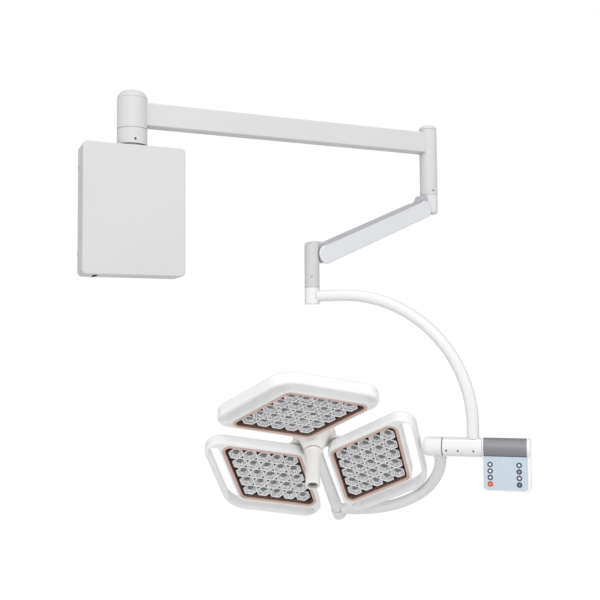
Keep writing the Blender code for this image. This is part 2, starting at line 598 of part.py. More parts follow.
def build_control_unit(white, panel, board_green, brushed, dark, red):
    radius = SLEEVE_RADIUS + 0.0008
    leg = block(CONTROL_START, CONTROL_END, CONTROL_FRONT, CONTROL_BACK, CONTROL_BOTTOM, -0.002)
    leg_outline = rounded_outline(
        rectangle(CONTROL_START, CONTROL_END, CONTROL_BOTTOM, 0.030), [0.008, 0.008, 0.002, 0.002]
    )
    trim = moved(loft([at_height(leg_outline, -0.05), at_height(leg_outline, 0.05)]),
                 Matrix.Rotation(math.pi / 2, 4, "X"))
    leg = boolean(leg, trim, "INTERSECT")
    barrel = moved(rod(radius, CONTROL_START, CONTROL_END, 32, 0.0012), Matrix.Rotation(math.pi / 2, 4, "Y"))
    body = join(barrel, leg)
    grip_seat = moved(rod(radius + 0.004, CONTROL_START + CHEEK, CONTROL_END - CHEEK - 0.002, 32),
                      Matrix.Rotation(math.pi / 2, 4, "Y"))
    x0, x1 = CONTROL_START + CHEEK + 0.002, CONTROL_END - CHEEK - 0.002
    pocket = block(x0 + 0.002, x1 - 0.002, CONTROL_FRONT - 0.01, 0.0080, CONTROL_BOTTOM + 0.006, -0.0315)
    recess = block(x0, x1, CONTROL_FRONT - 0.01, CONTROL_FRONT + 0.0018, CONTROL_BOTTOM + 0.004, -0.0295)
    place("control_housing", cut(body, grip_seat, pocket, recess), white, C_FRAME)
    grip = pipe(SLEEVE_RADIUS, 0.0150, CONTROL_START + CHEEK + GAP, CONTROL_END - CHEEK - 0.002 - GAP, 32)
    place("control_grip", grip, brushed, SLEEVE_FRAME)

    face = block(
        x0 + GAP, x1 - GAP, CONTROL_FRONT - 0.0002, CONTROL_FRONT + 0.0015, CONTROL_BOTTOM + 0.0043, -0.0298
    )
    facing = Matrix.Rotation(math.pi / 2, 4, "X")  # Z out of the panel's face
    places = []
    for column, names in zip(BUTTON_COLUMNS, BUTTON_NAMES):
        for row, name in enumerate(names):
            places.append((name, Matrix.Translation((column, 0, BUTTON_TOP - row * BUTTON_PITCH)) @ facing))
    front = -CONTROL_FRONT
    for name, spot in places:
        face = cut(face, moved(rod(BUTTON_RADIUS + GAP, 0.0, 0.05, 14), spot))
    place("control_panel", face, panel, C_FRAME)
    board = block(x0 + 0.004, x1 - 0.004, -0.0030, -0.0014, CONTROL_BOTTOM + 0.010, -0.0345)
    place("control_board", board, board_green, C_FRAME)
    for name, spot in places:
        button = rod(BUTTON_RADIUS, 0.0055, front + 0.0014, 14, 0.0005)
        place("button_" + name, button, red if name == "power" else dark, C_FRAME @ spot)


# ---- yoke ---------------------------------------------------------------------------------------


def yoke_tube_points(steps=14):
    """The yoke's centre line: out of the cap, a slight swell, then a quarter of an ellipse to the stem's end."""
    straight = YOKE_DEPTH - YOKE_BEND_ALONG
    points = [(YOKE_ROOT, 0, 0.0), (YOKE_ROOT, 0, -YOKE_ROOT_DEPTH)]
    for k in range(steps + 1):
        a = math.pi / 2 * k / steps
        points.append((
            YOKE_REACH - YOKE_BEND_ACROSS * (1 - math.cos(a)), 0, -straight - YOKE_BEND_ALONG * math.sin(a),
        ))
    points.append((0.002, 0, -YOKE_DEPTH))
    return points


def build_yoke(paint):
    r = SLEEVE_RADIUS
    cap = turned([
        (0, CAP_START), (r - 0.0070, CAP_START), (r - 0.0025, CAP_START + 0.0020), (r, CAP_START + 0.0065),
        (r, SLEEVE_START - 0.0012), (0.0122, SLEEVE_START - 0.0012), (0.0122, 0.395), (0, 0.395),
    ])
    place("yoke_cap", cap, paint, SLEEVE_FRAME)
    around_cap = moved(rod(r + GAP, 0.2, 0.5, 48), Matrix.Rotation(math.pi / 2, 4, "Y"))
    above = block(0.2, 0.5, -0.1, 0.1, -0.001, 0.1)
    around_stem = rod(STEM_SLEEVE_RADIUS + GAP, -0.5, -0.2, 48)
    past_stem = block(-0.1, 0.0, -0.1, 0.1, -0.5, -0.1)
    tube = cut(swept(yoke_tube_points(), YOKE_TUBE_RADIUS), around_cap, above, around_stem, past_stem)
    place("yoke_tube", tube, paint, YOKE_FRAME)
    s = STEM_SLEEVE_RADIUS
    start = STEM_SEAM + 0.0010
    sleeve = turned([
        (0, start), (s - 0.0008, start), (s, start + 0.0008), (s, STEM_END - 0.0060), (s - 0.0020, STEM_END - 0.0022),
        (s - 0.0065, STEM_END), (0, STEM_END),
    ])
    place("yoke_end_sleeve", cut(sleeve, rod(0.0083, start - 0.01, STEM_END - 0.008, 20)), paint, STEM_FRAME)


# ---- lamp head ----------------------------------------------------------------------------------

PANEL_SIDE = Vector((PANEL_HALF_LONG, PANEL_HALF_SHORT)).normalized()  # outward normal of a panel's side
PANEL_INRADIUS = PANEL_HALF_SHORT * PANEL_SIDE.x


def rhombus(outer, inner=None):
    """A panel's corners, its outer sides moved out by one distance and its inner sides by another."""
    inner = outer if inner is None else inner
    side_x = (outer - inner) / (2 * PANEL_SIDE.x)
    side_y = (2 * PANEL_INRADIUS + outer + inner) / (2 * PANEL_SIDE.y)
    return [
        ((PANEL_INRADIUS + outer) / PANEL_SIDE.x, 0.0), (side_x, side_y), (-(PANEL_INRADIUS + inner) / PANEL_SIDE.x, 0.0),
        (side_x, -side_y),
    ]


def panel_slab(outer, inner, radii, start, end, edge=0.0, steps=5):
    """A slab of a panel's outline. The radii are for the far, the side and the near corners."""
    far, side, near = radii

    def ring(inset, z):
        corners = rhombus(outer - inset, (outer if inner is None else inner) - inset)
        rounding = [far - inset, side - inset, near - inset, side - inset]
        return at_height(rounded_outline(corners, rounding, steps), z)

    if not edge:
        return loft([ring(0, start), ring(0, end)])
    soft = 0.3 * edge
    rings = [ring(edge, start), ring(soft, start + soft), ring(0, start + edge)]
    rings += [ring(0, end - edge), ring(soft, end - soft), ring(edge, end)]
    return loft(rings)


def bezel_slab(offset, start, end, edge=0.0):
    """A slab of the bezel's outline, moved outwards by the offset."""
    return panel_slab(offset, None, [radius + offset for radius in BEZEL_RADII], start, end, edge, steps=3)


def loop_slot(start, end):
    """The chevron-shaped gap between a panel's housing and the grab loop round its outer sides."""
    outside, inside = rhombus(LOOP_INNER, SLOT_END), rhombus(HOUSING_RIM, SLOT_END)
    corners = [outside[0], outside[1], inside[1], inside[0], inside[3], outside[3]]
    radii = [0.058, 0.014, 0.003, 0.024, 0.003, 0.014]
    count = len(corners)
    points = []
    for i, corner in enumerate(corners):
        if i != 3:
            points += rounded_corner(corners[i - 1], corner, corners[(i + 1) % count], radii[i])
            continue
        hollow = rounded_corner(corners[i + 1], corner, corners[i - 1], radii[i])
        points += reversed(hollow)
    return loft([at_height(points, start), at_height(points, end)])


def rounded_corner(before, corner, after, radius, steps=6):
    """The arc that rounds one corner of an outline."""
    here = Vector(corner)
    a = (Vector(before) - here).normalized()
    b = (Vector(after) - here).normalized()
    half = a.angle(b) / 2
    centre = here + (a + b).normalized() * radius / math.sin(half)
    start = here + a * radius / math.tan(half) - centre
    end = here + b * radius / math.tan(half) - centre
    sweep = start.angle_signed(end)
    return [centre + Matrix.Rotation(-sweep * k / steps, 2) @ start for k in range(steps + 1)]


def lens_places():
    """The lens centres: rows of equal length on a triangular lattice that follows the panel's sides."""
    spread = (LENS_ROWS - 1) / 2
    side_a = Vector((-PANEL_SIDE.y, PANEL_SIDE.x))
    side_b = Vector((PANEL_SIDE.y, PANEL_SIDE.x))
    for i in range(LENS_ROWS):
        for j in range(LENS_ROWS):
            point = (i - spread) * side_a + (j - spread) * side_b
            yield point * LENS_PITCH


def lens_array_mesh():
    sheet = bezel_slab(-BEZEL_WIDTH - 0.003, LENS_SHEET - 0.0016, LENS_SHEET)
    bodies = bmesh.new()
    for place_at in lens_places():
        lens = hexagon_prism(LENS_ACROSS, LENS_SHEET - 0.0008, LENS_TOP)
        lens.transform(Matrix.Translation((*place_at, 0)))
        bodies.from_mesh(lens)
    tool = bpy.data.meshes.new("lenses")
    bodies.to_mesh(tool)
    bodies.free()
    return join(sheet, tool)


def hexagon_prism(across, start, end):
    """A six-sided lens with a narrower foot, its flats facing its neighbours."""
    def ring(scale, z):
        radius = scale * across / math.sqrt(3)
        angles = [math.pi / 3 * k for k in range(6)]
        return [(radius * math.cos(a), radius * math.sin(a), z) for a in angles]

    return loft([ring(0.72, start), ring(0.97, end - 0.0016), ring(0.86, end)])


def build_head(paint, cream, gray):
    hub = turned([
        (0, HUB_BACK), (HUB_RADIUS - 0.010, HUB_BACK), (HUB_RADIUS - 0.003, HUB_BACK + 0.002),
        (HUB_RADIUS, HUB_BACK + 0.008), (HUB_RADIUS, HUB_FRONT - 0.006), (HUB_RADIUS - 0.004, HUB_FRONT - 0.001),
        (HUB_RADIUS - 0.012, HUB_FRONT), (0, HUB_FRONT),
    ], 28)
    for index in range(PANEL_COUNT):
        arm = slab(
            rectangle(-PANEL_DISTANCE + 0.004, 0.010, -0.022, 0.022), 0.016,
            -PANEL_DEPTH - 0.0110, -PANEL_DEPTH - GAP, 0.002, 3,
        )
        arm.transform(HEAD_FRAME.inverted() @ panel_frame(index))
        hub = join(hub, arm)
    stem_in_head = HEAD_FRAME.inverted() @ STEM_FRAME
    stem_seat = moved(rod(STEM_RADIUS + GAP, HUB_RADIUS - 0.012, 0.2, 24), stem_in_head)
    socket_seat = rod(0.0085 + GAP, HUB_FRONT - 0.020, 0.1, 20)
    place("head_hub", cut(hub, stem_seat, socket_seat), paint, HEAD_FRAME)

    pin_start = STEM_SEAM
    stem = turned([
        (0, HUB_RADIUS - 0.012 + GAP), (STEM_RADIUS, HUB_RADIUS - 0.012 + GAP), (STEM_RADIUS, 0.190),
        (STEM_RADIUS + 0.0008, 0.192), (STEM_RADIUS + 0.0014, pin_start - 0.0010), (STEM_RADIUS + 0.0006, pin_start),
        (0.0080, pin_start), (0.0080, STEM_END - 0.010), (0, STEM_END - 0.010),
    ], 24)
    place("head_stem", stem, paint, STEM_FRAME)

    core = turned([
        (0, HUB_FRONT - 0.020 + GAP), (0.0085, HUB_FRONT - 0.020 + GAP), (0.0085, HUB_FRONT + 0.004),
        (HANDLE_BORE - GAP, HUB_FRONT + 0.006), (HANDLE_BORE - GAP, HANDLE_END - 0.010), (0, HANDLE_END - 0.010),
    ], 24)
    place("handle_core", core, gray, HEAD_FRAME)
    handle = turned([
        (HANDLE_BORE, HUB_FRONT + 0.007), (HANDLE_RADIUS + 0.0090, HUB_FRONT + 0.0010),
        (HANDLE_RADIUS + 0.0095, HUB_FRONT + 0.0035), (HANDLE_RADIUS + 0.0035, HUB_FRONT + 0.0100),
        (HANDLE_RADIUS, HUB_FRONT + 0.0200), (HANDLE_RADIUS, HANDLE_END - 0.0030),
        (HANDLE_RADIUS - 0.0020, HANDLE_END), (HANDLE_BORE, HANDLE_END),
    ], 32)
    place("sterile_handle", handle, cream, HEAD_FRAME)


def build_panels(paint, copper, brown, clear):
    shell = panel_slab(LOOP_OUTER, HOUSING_RIM, SHELL_RADII, -PANEL_DEPTH, 0, 0.005, 5)
    rebate = bezel_slab(0, -BEZEL_SEAT, 0.01)
    pocket = bezel_slab(-BEZEL_WIDTH + 0.0010, -POCKET_DEPTH, 0.01)
    wire_hole = moved(rod(0.006, -0.1, 0.0, 16), Matrix.Translation((-0.070, 0, 0)))
    shell = cut(shell, pocket, rebate, wire_hole, loop_slot(-0.1, 0.1))

    bezel = cut(bezel_slab(-GAP, -BEZEL_SEAT + GAP, 0.0008, 0.0006), bezel_slab(-BEZEL_WIDTH, -0.1, 0.1))
    board = bezel_slab(-BEZEL_WIDTH + 0.0005, -POCKET_DEPTH + GAP, -POCKET_DEPTH + GAP + 0.0036)
    lenses = lens_array_mesh()
    for index in range(PANEL_COUNT):
        frame_here = panel_frame(index)
        letter = "abc"[index]
        place("panel_shell_" + letter, shell, paint, frame_here)
        place("panel_bezel_" + letter, bezel, copper, frame_here)
        place("led_board_" + letter, board, brown, frame_here)
        place("lens_array_" + letter, lenses, clear, frame_here)


def main():
    clear_scene()
    paint = material("light_gray_paint", (0.80, 0.80, 0.81), 0.40)
    white = material("gloss_white_paint", (0.90, 0.90, 0.91), 0.25)
    cream = material("cream_plastic", (0.90, 0.88, 0.83), 0.35)
    copper = material("rose_copper_trim", (0.72, 0.48, 0.40), 0.35, 0.5)
    brown = material("brown_board", (0.13, 0.07, 0.05), 0.55)
    clear = material("clear_lens", (0.85, 0.88, 0.90), 0.05)
    brushed = material("brushed_gray", (0.35, 0.35, 0.38), 0.40, 0.8)
    steel = material("steel", (0.55, 0.55, 0.56), 0.35, 1.0)
    bare = material("bare_metal", (0.65, 0.66, 0.67), 0.45, 0.9)
    panel = material("pale_blue_panel", (0.60, 0.70, 0.76), 0.45)
    green = material("circuit_green", (0.06, 0.22, 0.12), 0.50)
    dark = material("dark_gray", (0.08, 0.09, 0.13), 0.45)
    red = material("red_button", (0.75, 0.10, 0.06), 0.40)
    rubber = material("black_rubber", (0.03, 0.03, 0.03), 0.80)

    build_wall_unit(paint, steel, dark, rubber, bare)
    build_main_arm(paint, dark)
    build_knuckle(paint, steel)
    build_spring_arm(paint, steel, dark)
    build_elbow(paint, steel)
    build_c_arm(white, steel)
    build_control_unit(white, panel, green, brushed, dark, red)
    build_yoke(white)
    build_head(white, cream, dark)
    build_panels(white, copper, brown, clear)


main()
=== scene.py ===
"""The looks of the wall-mounted surgical light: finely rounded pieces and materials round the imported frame.

Metres, in the frame's own axes: +X along the wall, +Y into the wall, +Z up, origin on the wall plate's back.
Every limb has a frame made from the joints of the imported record, and its pieces are made in that frame.
"""

import json
import math

import bmesh
import bpy
from mathutils import Matrix, Vector


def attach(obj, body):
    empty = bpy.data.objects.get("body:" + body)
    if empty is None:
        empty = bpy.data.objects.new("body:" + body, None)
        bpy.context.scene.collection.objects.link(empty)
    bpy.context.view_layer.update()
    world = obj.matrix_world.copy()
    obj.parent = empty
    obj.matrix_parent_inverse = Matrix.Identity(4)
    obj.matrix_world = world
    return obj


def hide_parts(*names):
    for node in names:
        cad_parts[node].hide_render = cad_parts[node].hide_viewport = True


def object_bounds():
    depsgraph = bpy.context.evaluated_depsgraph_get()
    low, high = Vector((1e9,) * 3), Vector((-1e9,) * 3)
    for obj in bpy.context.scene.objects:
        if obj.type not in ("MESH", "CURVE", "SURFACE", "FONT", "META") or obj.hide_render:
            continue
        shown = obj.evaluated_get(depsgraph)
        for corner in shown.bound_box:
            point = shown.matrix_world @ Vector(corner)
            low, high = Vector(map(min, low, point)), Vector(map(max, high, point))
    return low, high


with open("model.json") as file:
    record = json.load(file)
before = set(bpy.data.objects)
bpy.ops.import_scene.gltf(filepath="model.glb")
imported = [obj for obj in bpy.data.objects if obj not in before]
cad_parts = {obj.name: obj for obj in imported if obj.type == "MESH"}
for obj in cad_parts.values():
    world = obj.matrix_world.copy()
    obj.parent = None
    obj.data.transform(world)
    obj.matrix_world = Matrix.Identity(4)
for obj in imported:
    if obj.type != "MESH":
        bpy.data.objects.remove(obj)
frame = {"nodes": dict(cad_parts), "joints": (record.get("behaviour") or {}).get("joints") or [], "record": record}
CAD_BOX = [list(corner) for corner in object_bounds()]
JOINTS = {joint["name"]: joint for joint in frame["joints"]}
UP = Vector((0, 0, 1))
SMOOTH_ANGLE = math.radians(32)
BEVEL_ANGLE = math.radians(40)
GAP = 0.0003
BEYOND = 0.1  # how far a cutter runs past the piece that it cuts
LIMB_SEGMENTS = 96

# Wall box and post
BOX_WIDTH, BOX_DEPTH, BOX_HEIGHT = 0.26, 0.08, 0.332
BOX_TOP = BOX_HEIGHT / 2
BOX_CORNER, BOX_EDGE, COVER_WALL, PLATE_THICKNESS = 0.012, 0.004, 0.002, 0.003
SLOT_X, SLOT_WIDTH, SLOT_BACK, SLOT_FRONT = -0.094, 0.01, -0.012, -0.068
COVER_SCREW_Y, COVER_SCREW_Z = -0.016, 0.11
POST_RADIUS, NECK_RADIUS, SPINDLE_RADIUS = 0.0385, 0.03, 0.0175
POST_BOTTOM, POST_SEAM, POST_SCREW_Z = BOX_TOP + 0.0045, 0.212, 0.181
HUB_TOP, POST_CAP_TOP = 0.291, 0.31

# Main arm and column
BEAM_BOTTOM, BEAM_TOP, BEAM_WIDTH, BEAM_CORNER = 0.222, 0.282, 0.038, 0.004
COLUMN_RADIUS, COLUMN_BOTTOM, COLUMN_BORE, COLUMN_BORE_TOP = 0.0255, 0.0965, 0.0123, 0.215
COLUMN_TOP, COLUMN_CAP_TOP, COLUMN_SCREW_Z = 0.292, 0.3055, 0.1095

# Sprung arm, knuckle and elbow
LID_HEIGHT, MOUTH = 0.0014, 0.036
ARM_HALF_WIDTH, ARM_HALF_HEIGHT, ARM_WALL = 0.025, 0.0245, 0.0035
TONGUE_HALF_WIDTH, TONGUE_NOSE, PIN_RADIUS = 0.014, 0.0205, 0.0045
KNUCKLE_BOTTOM = 0.0425
ELBOW_RADIUS, ELBOW_CORNER, ELBOW_TOP, ELBOW_BOTTOM = 0.0193, 0.024, -0.0735, -0.194
ELBOW_SEAM_Z, ELBOW_SCREW_Z = -0.161, -0.167
SWIVEL_BOTTOM, SWIVEL_BORE = -0.238, 0.0093

# C-shaped arm, sleeve and control unit
C_TUBE_RADIUS, C_TUBE_Z, C_STRAIGHT, C_BEND = 0.0147, -0.216, 0.078, 0.326
SLEEVE_RADIUS, YOKE_AXLE_RADIUS, YOKE_AXLE_END = 0.0235, 0.0122, 0.395
CAP_START, SLEEVE_START, SLEEVE_END = 0.285, 0.3313, 0.4262
SLEEVE_SCREWS, SLEEVE_SCREW_DROP = (0.3417, 0.3695, 0.4068), math.radians(20)
CONTROL_START, CONTROL_END, CONTROL_BOTTOM = 0.4265, 0.5389, -0.1008
CONTROL_FRONT, CONTROL_BACK, CHEEK, END_CHEEK = -0.0155, 0.0145, 0.0035, 0.0082
BUTTON_RADIUS, BUTTON_COLUMNS, BUTTON_TOP, BUTTON_PITCH = 0.0062, (0.4445, 0.512), -0.0385, 0.0153
BUTTON_NAMES = (
    ("lamp_up", "lamp_down", "mode", "power"),
    ("focus_wide", "focus_narrow", "warm_white", "cool_white"),
)

# Yoke, stem, hub and handle
YOKE_TUBE_RADIUS, YOKE_ROOT = 0.0145, 0.315
YOKE_REACH, YOKE_DEPTH = 0.32, 0.3
YOKE_BEND_ACROSS, YOKE_BEND_ALONG = 0.29, 0.28
STEM_RADIUS, STEM_SEAM, STEM_END, STEM_SLEEVE_RADIUS = 0.0138, 0.2985, 0.335, 0.0168
STEM_PIN_RADIUS = 0.008
HUB_RADIUS, HUB_BACK, HUB_FRONT = 0.037, -0.05, 0.024
HANDLE_RADIUS, HANDLE_BORE, HANDLE_END = 0.0183, 0.013, 0.131

# Light panels. The loops are slimmer here than in the solids, and the bezel has rounder corners.
PANEL_COUNT = 3
PANEL_DISTANCE, PANEL_LIFT, PANEL_DISH = 0.1526, 0.0342, math.radians(8.3)
PANEL_HALF_SHORT, PANEL_HALF_LONG, PANEL_DEPTH = 0.1106, 0.1853, 0.034
HOUSING_RIM, LOOP_OUTER, LOOP_INNER, SLOT_END = 0.008, 0.0437, 0.034, -0.013
SLOT_RIM = 0.0048
SHELL_RADII = (0.082, 0.039, 0.03)  # the far, the side and the near corners
BEZEL_RADII = (0.025, 0.02, 0.025)
BEZEL_WIDTH, BEZEL_SEAT, POCKET_DEPTH = 0.0072, 0.003, 0.0245
LENS_ROWS, LENS_PITCH, LENS_CORNER = 5, 0.0362, 0.035 / math.sqrt(3)
LENS_TOP, LENS_SHEET = -0.006, -0.0185


# ---- frames ----


def axes_frame(origin, x_axis, z_axis):
    x = Vector(x_axis).normalized()
    z = Vector(z_axis).normalized()
    matrix = Matrix((x, z.cross(x), z)).transposed().to_4x4()
    matrix.translation = Vector(origin)
    return matrix


def joint_at(name):
    return Vector(JOINTS[name]["pos_m"])


def joint_axis(name):
    return Vector(JOINTS[name]["axis"]).normalized()


def on_axis(name):
    """The frame of a vertical swivel, with its heights left as the frame's own."""
    point = joint_at(name)
    return Matrix.Translation((point.x, point.y, 0))


WALL_FRAME = axes_frame((0, 0, 0), (1, 0, 0), (0, -1, 0))  # X along the wall, Y up, Z out of it
POST_FRAME = on_axis("main_arm_swivel")
COLUMN_FRAME = on_axis("spring_arm_swivel")
BEAM_FRAME = axes_frame((0, POST_FRAME.translation.y, 0), (0, 1, 0), (1, 0, 0))  # Z along the arm, Y up
UPPER_PIVOT, LOWER_PIVOT = joint_at("spring_arm_pitch"), joint_at("elbow_level")
LATERAL = joint_axis("spring_arm_pitch")
SPRING_HEADING = LATERAL.cross(UP)
SPRING_LENGTH = (LOWER_PIVOT - UPPER_PIVOT).length
UPPER_OFFSET = (UPPER_PIVOT - COLUMN_FRAME.translation).dot(SPRING_HEADING)
KNUCKLE_FRAME = axes_frame(UPPER_PIVOT, SPRING_HEADING, UP)
ARM_AXIS = (LOWER_PIVOT - UPPER_PIVOT).normalized()
ARM_FRAME = axes_frame(UPPER_PIVOT, ARM_AXIS, ARM_AXIS.cross(LATERAL))
TONGUE_FRAME = axes_frame(LOWER_PIVOT, SPRING_HEADING, UP)
ELBOW_FRAME = on_axis("c_arm_swivel")
ELBOW_OFFSET = (ELBOW_FRAME.translation - LOWER_PIVOT).dot(SPRING_HEADING)
HEAD_CENTRE = joint_at("yoke_tilt")
C_HEADING = joint_axis("yoke_tilt")
STEM = joint_axis("head_turn")
LIGHT = joint_axis("handle_pull")
C_FRAME = axes_frame(HEAD_CENTRE, C_HEADING, UP)
QUARTER_X = Matrix.Rotation(math.pi / 2, 4, "X")
QUARTER_Y = Matrix.Rotation(math.pi / 2, 4, "Y")
SLEEVE_FRAME = C_FRAME @ QUARTER_Y  # Z along the sleeve
YOKE_FRAME = axes_frame(HEAD_CENTRE, C_HEADING, -STEM)
STEM_FRAME = YOKE_FRAME @ Matrix.Rotation(math.pi, 4, "X")  # Z along the stem
HEAD_FRAME = axes_frame(HEAD_CENTRE, LIGHT.cross(STEM), LIGHT)


def panel_frame(index):
    """A panel's frame: X outwards along the panel, Z out of its lit face."""
    turn = Matrix.Rotation(math.pi / 2 + index * math.tau / PANEL_COUNT, 4, "Z")
    shift = Matrix.Translation((PANEL_DISTANCE, 0, PANEL_LIFT))
    return HEAD_FRAME @ turn @ shift @ Matrix.Rotation(-PANEL_DISH, 4, "Y")


# ---- outlines ----


def arc_corner(before, corner, after, radius, steps):
    """The arc that rounds one corner of a line of 2-D points."""
    here = Vector(corner)
    a, b = (Vector(before) - here).normalized(), (Vector(after) - here).normalized()
    half = a.angle(b) / 2
    centre = here + (a + b).normalized() * radius / math.sin(half)
    start = here + a * radius / math.tan(half) - centre
    end = here + b * radius / math.tan(half) - centre
    sweep = start.angle_signed(end)
    return [centre + Matrix.Rotation(-sweep * k / steps, 2) @ start for k in range(steps + 1)]


def rounded(corners, radii, steps=10):
    """A closed outline with every corner rounded to its own radius."""
    count = len(corners)
    points = []
    for i, corner in enumerate(corners):
        points += arc_corner(corners[i - 1], corner, corners[(i + 1) % count], radii[i], steps)
    return points


def softened(points, radius, steps=4):
    """A turned profile whose inner points are rounded, all alike or each to its own radius."""
    if radius == 0:
        return points
    radii = radius if isinstance(radius, (list, tuple)) else [radius] * (len(points) - 2)
    out = [Vector(points[0])]
    for before, here, after, wanted in zip(points, points[1:], points[2:], radii):
        a, b = Vector(before) - Vector(here), Vector(after) - Vector(here)
        angle = a.angle(b)
        if abs(angle - math.pi) < 0.05:
            out.append(Vector(here))
            continue
        most = 0.45 * min(a.length, b.length) * math.tan(angle / 2)
        out += arc_corner(before, here, after, min(wanted, most), 2 * steps if wanted > 0.002 else steps)
    return out + [Vector(points[-1])]


def inset(points, distance):
    """A closed anticlockwise outline moved inwards."""
    count = len(points)
    out = []
    for i, point in enumerate(points):
        a = (Vector(point) - Vector(points[i - 1])).normalized()
        b = (Vector(points[(i + 1) % count]) - Vector(point)).normalized()
        normal = Vector((-a.y - b.y, a.x + b.x)).normalized()
        share = max(normal.dot(Vector((-a.y, a.x))), 0.3)
        out.append(Vector(point) + normal * distance / share)
    return out


def rectangle(x0, x1, y0, y1):
    return [(x0, y0), (x1, y0), (x1, y1), (x0, y1)]


def box_outline(x0, x1, y0, y1, radius, steps=8):
    return rounded(rectangle(x0, x1, y0, y1), [radius] * 4, steps)


def quarter_arc(along, across, steps):
    """A quarter of an ellipse from its start, as how far on and how far sideways each point lies."""
    angles = [math.pi / 2 * k / steps for k in range(steps + 1)]
    return [(along * math.sin(a), across * (1 - math.cos(a))) for a in angles]


def at_height(outline, z):
    return [(x, y, z) for x, y in outline]


def polygon(radius, z, corners=6):
    """The corners of a regular polygon round Z."""
    angles = [math.tau * k / corners for k in range(corners)]
    return [(radius * math.cos(a), radius * math.sin(a), z) for a in angles]


PANEL_SIDE = Vector((PANEL_HALF_LONG, PANEL_HALF_SHORT)).normalized()  # outward normal of a panel's side
PANEL_INRADIUS = PANEL_HALF_SHORT * PANEL_SIDE.x


def rhombus(outer, inner=None):
    """A panel's corners, its outer sides moved out by one distance and its inner sides by another."""
    inner = outer if inner is None else inner
    side_x = (outer - inner) / (2 * PANEL_SIDE.x)
    side_y = (2 * PANEL_INRADIUS + outer + inner) / (2 * PANEL_SIDE.y)
    far, near = (PANEL_INRADIUS + outer) / PANEL_SIDE.x, -(PANEL_INRADIUS + inner) / PANEL_SIDE.x
    return [(far, 0.0), (side_x, side_y), (near, 0.0), (side_x, -side_y)]


def panel_outline(outer, inner, far, side, near, steps=12):
    return rounded(rhombus(outer, inner), [far, side, near, side], steps)


# ---- meshes ----


def mesh_of(bm):
    mesh = bpy.data.meshes.new("shape")
    bm.to_mesh(mesh)
    bm.free()
    return mesh


def closed_mesh(bm):
    """The mesh of a closed surface, with its faces turned outwards."""
    bmesh.ops.recalc_face_normals(bm, faces=bm.faces)
    if bm.calc_volume(signed=True) < 0:
        bmesh.ops.reverse_faces(bm, faces=bm.faces)
    return mesh_of(bm)


def band(bm, low, high):
    """The faces between two rings of vertices. Either ring may be a single point."""
    count = max(len(low), len(high))
    for i in range(count):
        j = (i + 1) % count
        corners = [low[i % len(low)], low[j % len(low)], high[j % len(high)], high[i % len(high)]]
        bm.faces.new(list(dict.fromkeys(corners)))


def loft(rings, wrap=False):
    """A body through rings of equally many points. It has flat ends, or joins its last ring to its first."""
    bm = bmesh.new()
    rows = [[bm.verts.new(point) for point in ring] for ring in rings]
    pairs = list(zip(rows, rows[1:]))
    if wrap:
        pairs.append((rows[-1], rows[0]))
    else:
        bm.faces.new(reversed(rows[0]))
        bm.faces.new(rows[-1])
    for low, high in pairs:
        band(bm, low, high)
    return closed_mesh(bm)


def turned(profile, edge=0.0006, segments=LIMB_SEGMENTS):
    """A body turned round Z from (radius, z) points, with its corners rounded."""
    closed = profile[0][0] > 0 and profile[-1][0] > 0
    if closed:
        count = len(profile)
        radii = []
        for i in range(count):
            sides = [Vector(profile[i]) - Vector(profile[k]) for k in (i - 1, (i + 1) % count)]
            radii.append(min(edge, 0.3 * min(side.length for side in sides)))
        points = rounded(profile, radii, 3)
    else:
        points = softened(profile, edge)
    rings = []
    bm = bmesh.new()
    for radius, z in points:
        if radius < 1e-7:
            rings.append([bm.verts.new((0, 0, z))])
            continue
        rings.append([bm.verts.new(point) for point in polygon(radius, z, segments)])
    pairs = list(zip(rings, rings[1:]))
    if closed:
        pairs.append((rings[-1], rings[0]))
    for low, high in pairs:
        band(bm, low, high)
    return closed_mesh(bm)


def bar(radius, start, end, edge=0.0004, segments=48):
    return turned([(0, start), (radius, start), (radius, end), (0, end)], edge, segments)


def tube(inner, outer, start, end, edge):
    return turned([(inner, start), (outer, start), (outer, end), (inner, end)], edge)


def rounding(outline, radius, end, sign, steps):
    """The rings of a rounded edge up to its flat end, which faces up for sign 1 and down for -1."""
    arc = quarter_arc(radius, radius, steps)[1:]
    return [at_height(inset(outline, back), end - sign * (radius - on)) for on, back in arc]


def plate(outline, start, end, low=0.0, high=0.0, steps=5):
    """An outline extruded along Z, its lower and upper edges rounded to their own radii."""
    rings = rounding(outline, low, start, -1, steps)[::-1] if low else []
    rings += [at_height(outline, start + low), at_height(outline, end - high)]
    rings += rounding(outline, high, end, 1, steps) if high else []
    return loft(rings)


def frame_plate(outer, inner, start, end, edge, steps=3):
    """A flat ring between two outlines of equally many points, with its front edges rounded."""
    rings = [at_height(outer, start), at_height(outer, end - edge)]
    rings += rounding(outer, edge, end, 1, steps)
    rings += rounding(inner, -edge, end, -1, steps)[::-1]
    rings += [at_height(inner, end - edge), at_height(inner, start)]
    return loft(rings, wrap=True)


def swept(points, radius, segments=48):
    """A round bar along a curve that lies in the XZ plane."""
    rings = []
    side = Vector((0, 1, 0))
    for i, point in enumerate(points):
        before, after = Vector(points[max(i - 1, 0)]), Vector(points[min(i + 1, len(points) - 1)])
        across = side.cross((after - before).normalized())
        ring = polygon(radius, 0, segments)
        rings.append([Vector(point) + x * across + y * side for x, y, _ in ring])
    return loft(rings)


def moved(mesh, matrix):
    mesh.transform(matrix)
    return mesh


def merged(meshes):
    """Several meshes as one, without joining their surfaces."""
    bm = bmesh.new()
    for mesh in meshes:
        bm.from_mesh(mesh)
        bpy.data.meshes.remove(mesh)
    return mesh_of(bm)


def in_scene(name, data):
    """A new object in the scene."""
    obj = bpy.data.objects.new(name, data)
    bpy.context.scene.collection.objects.link(obj)
    return obj


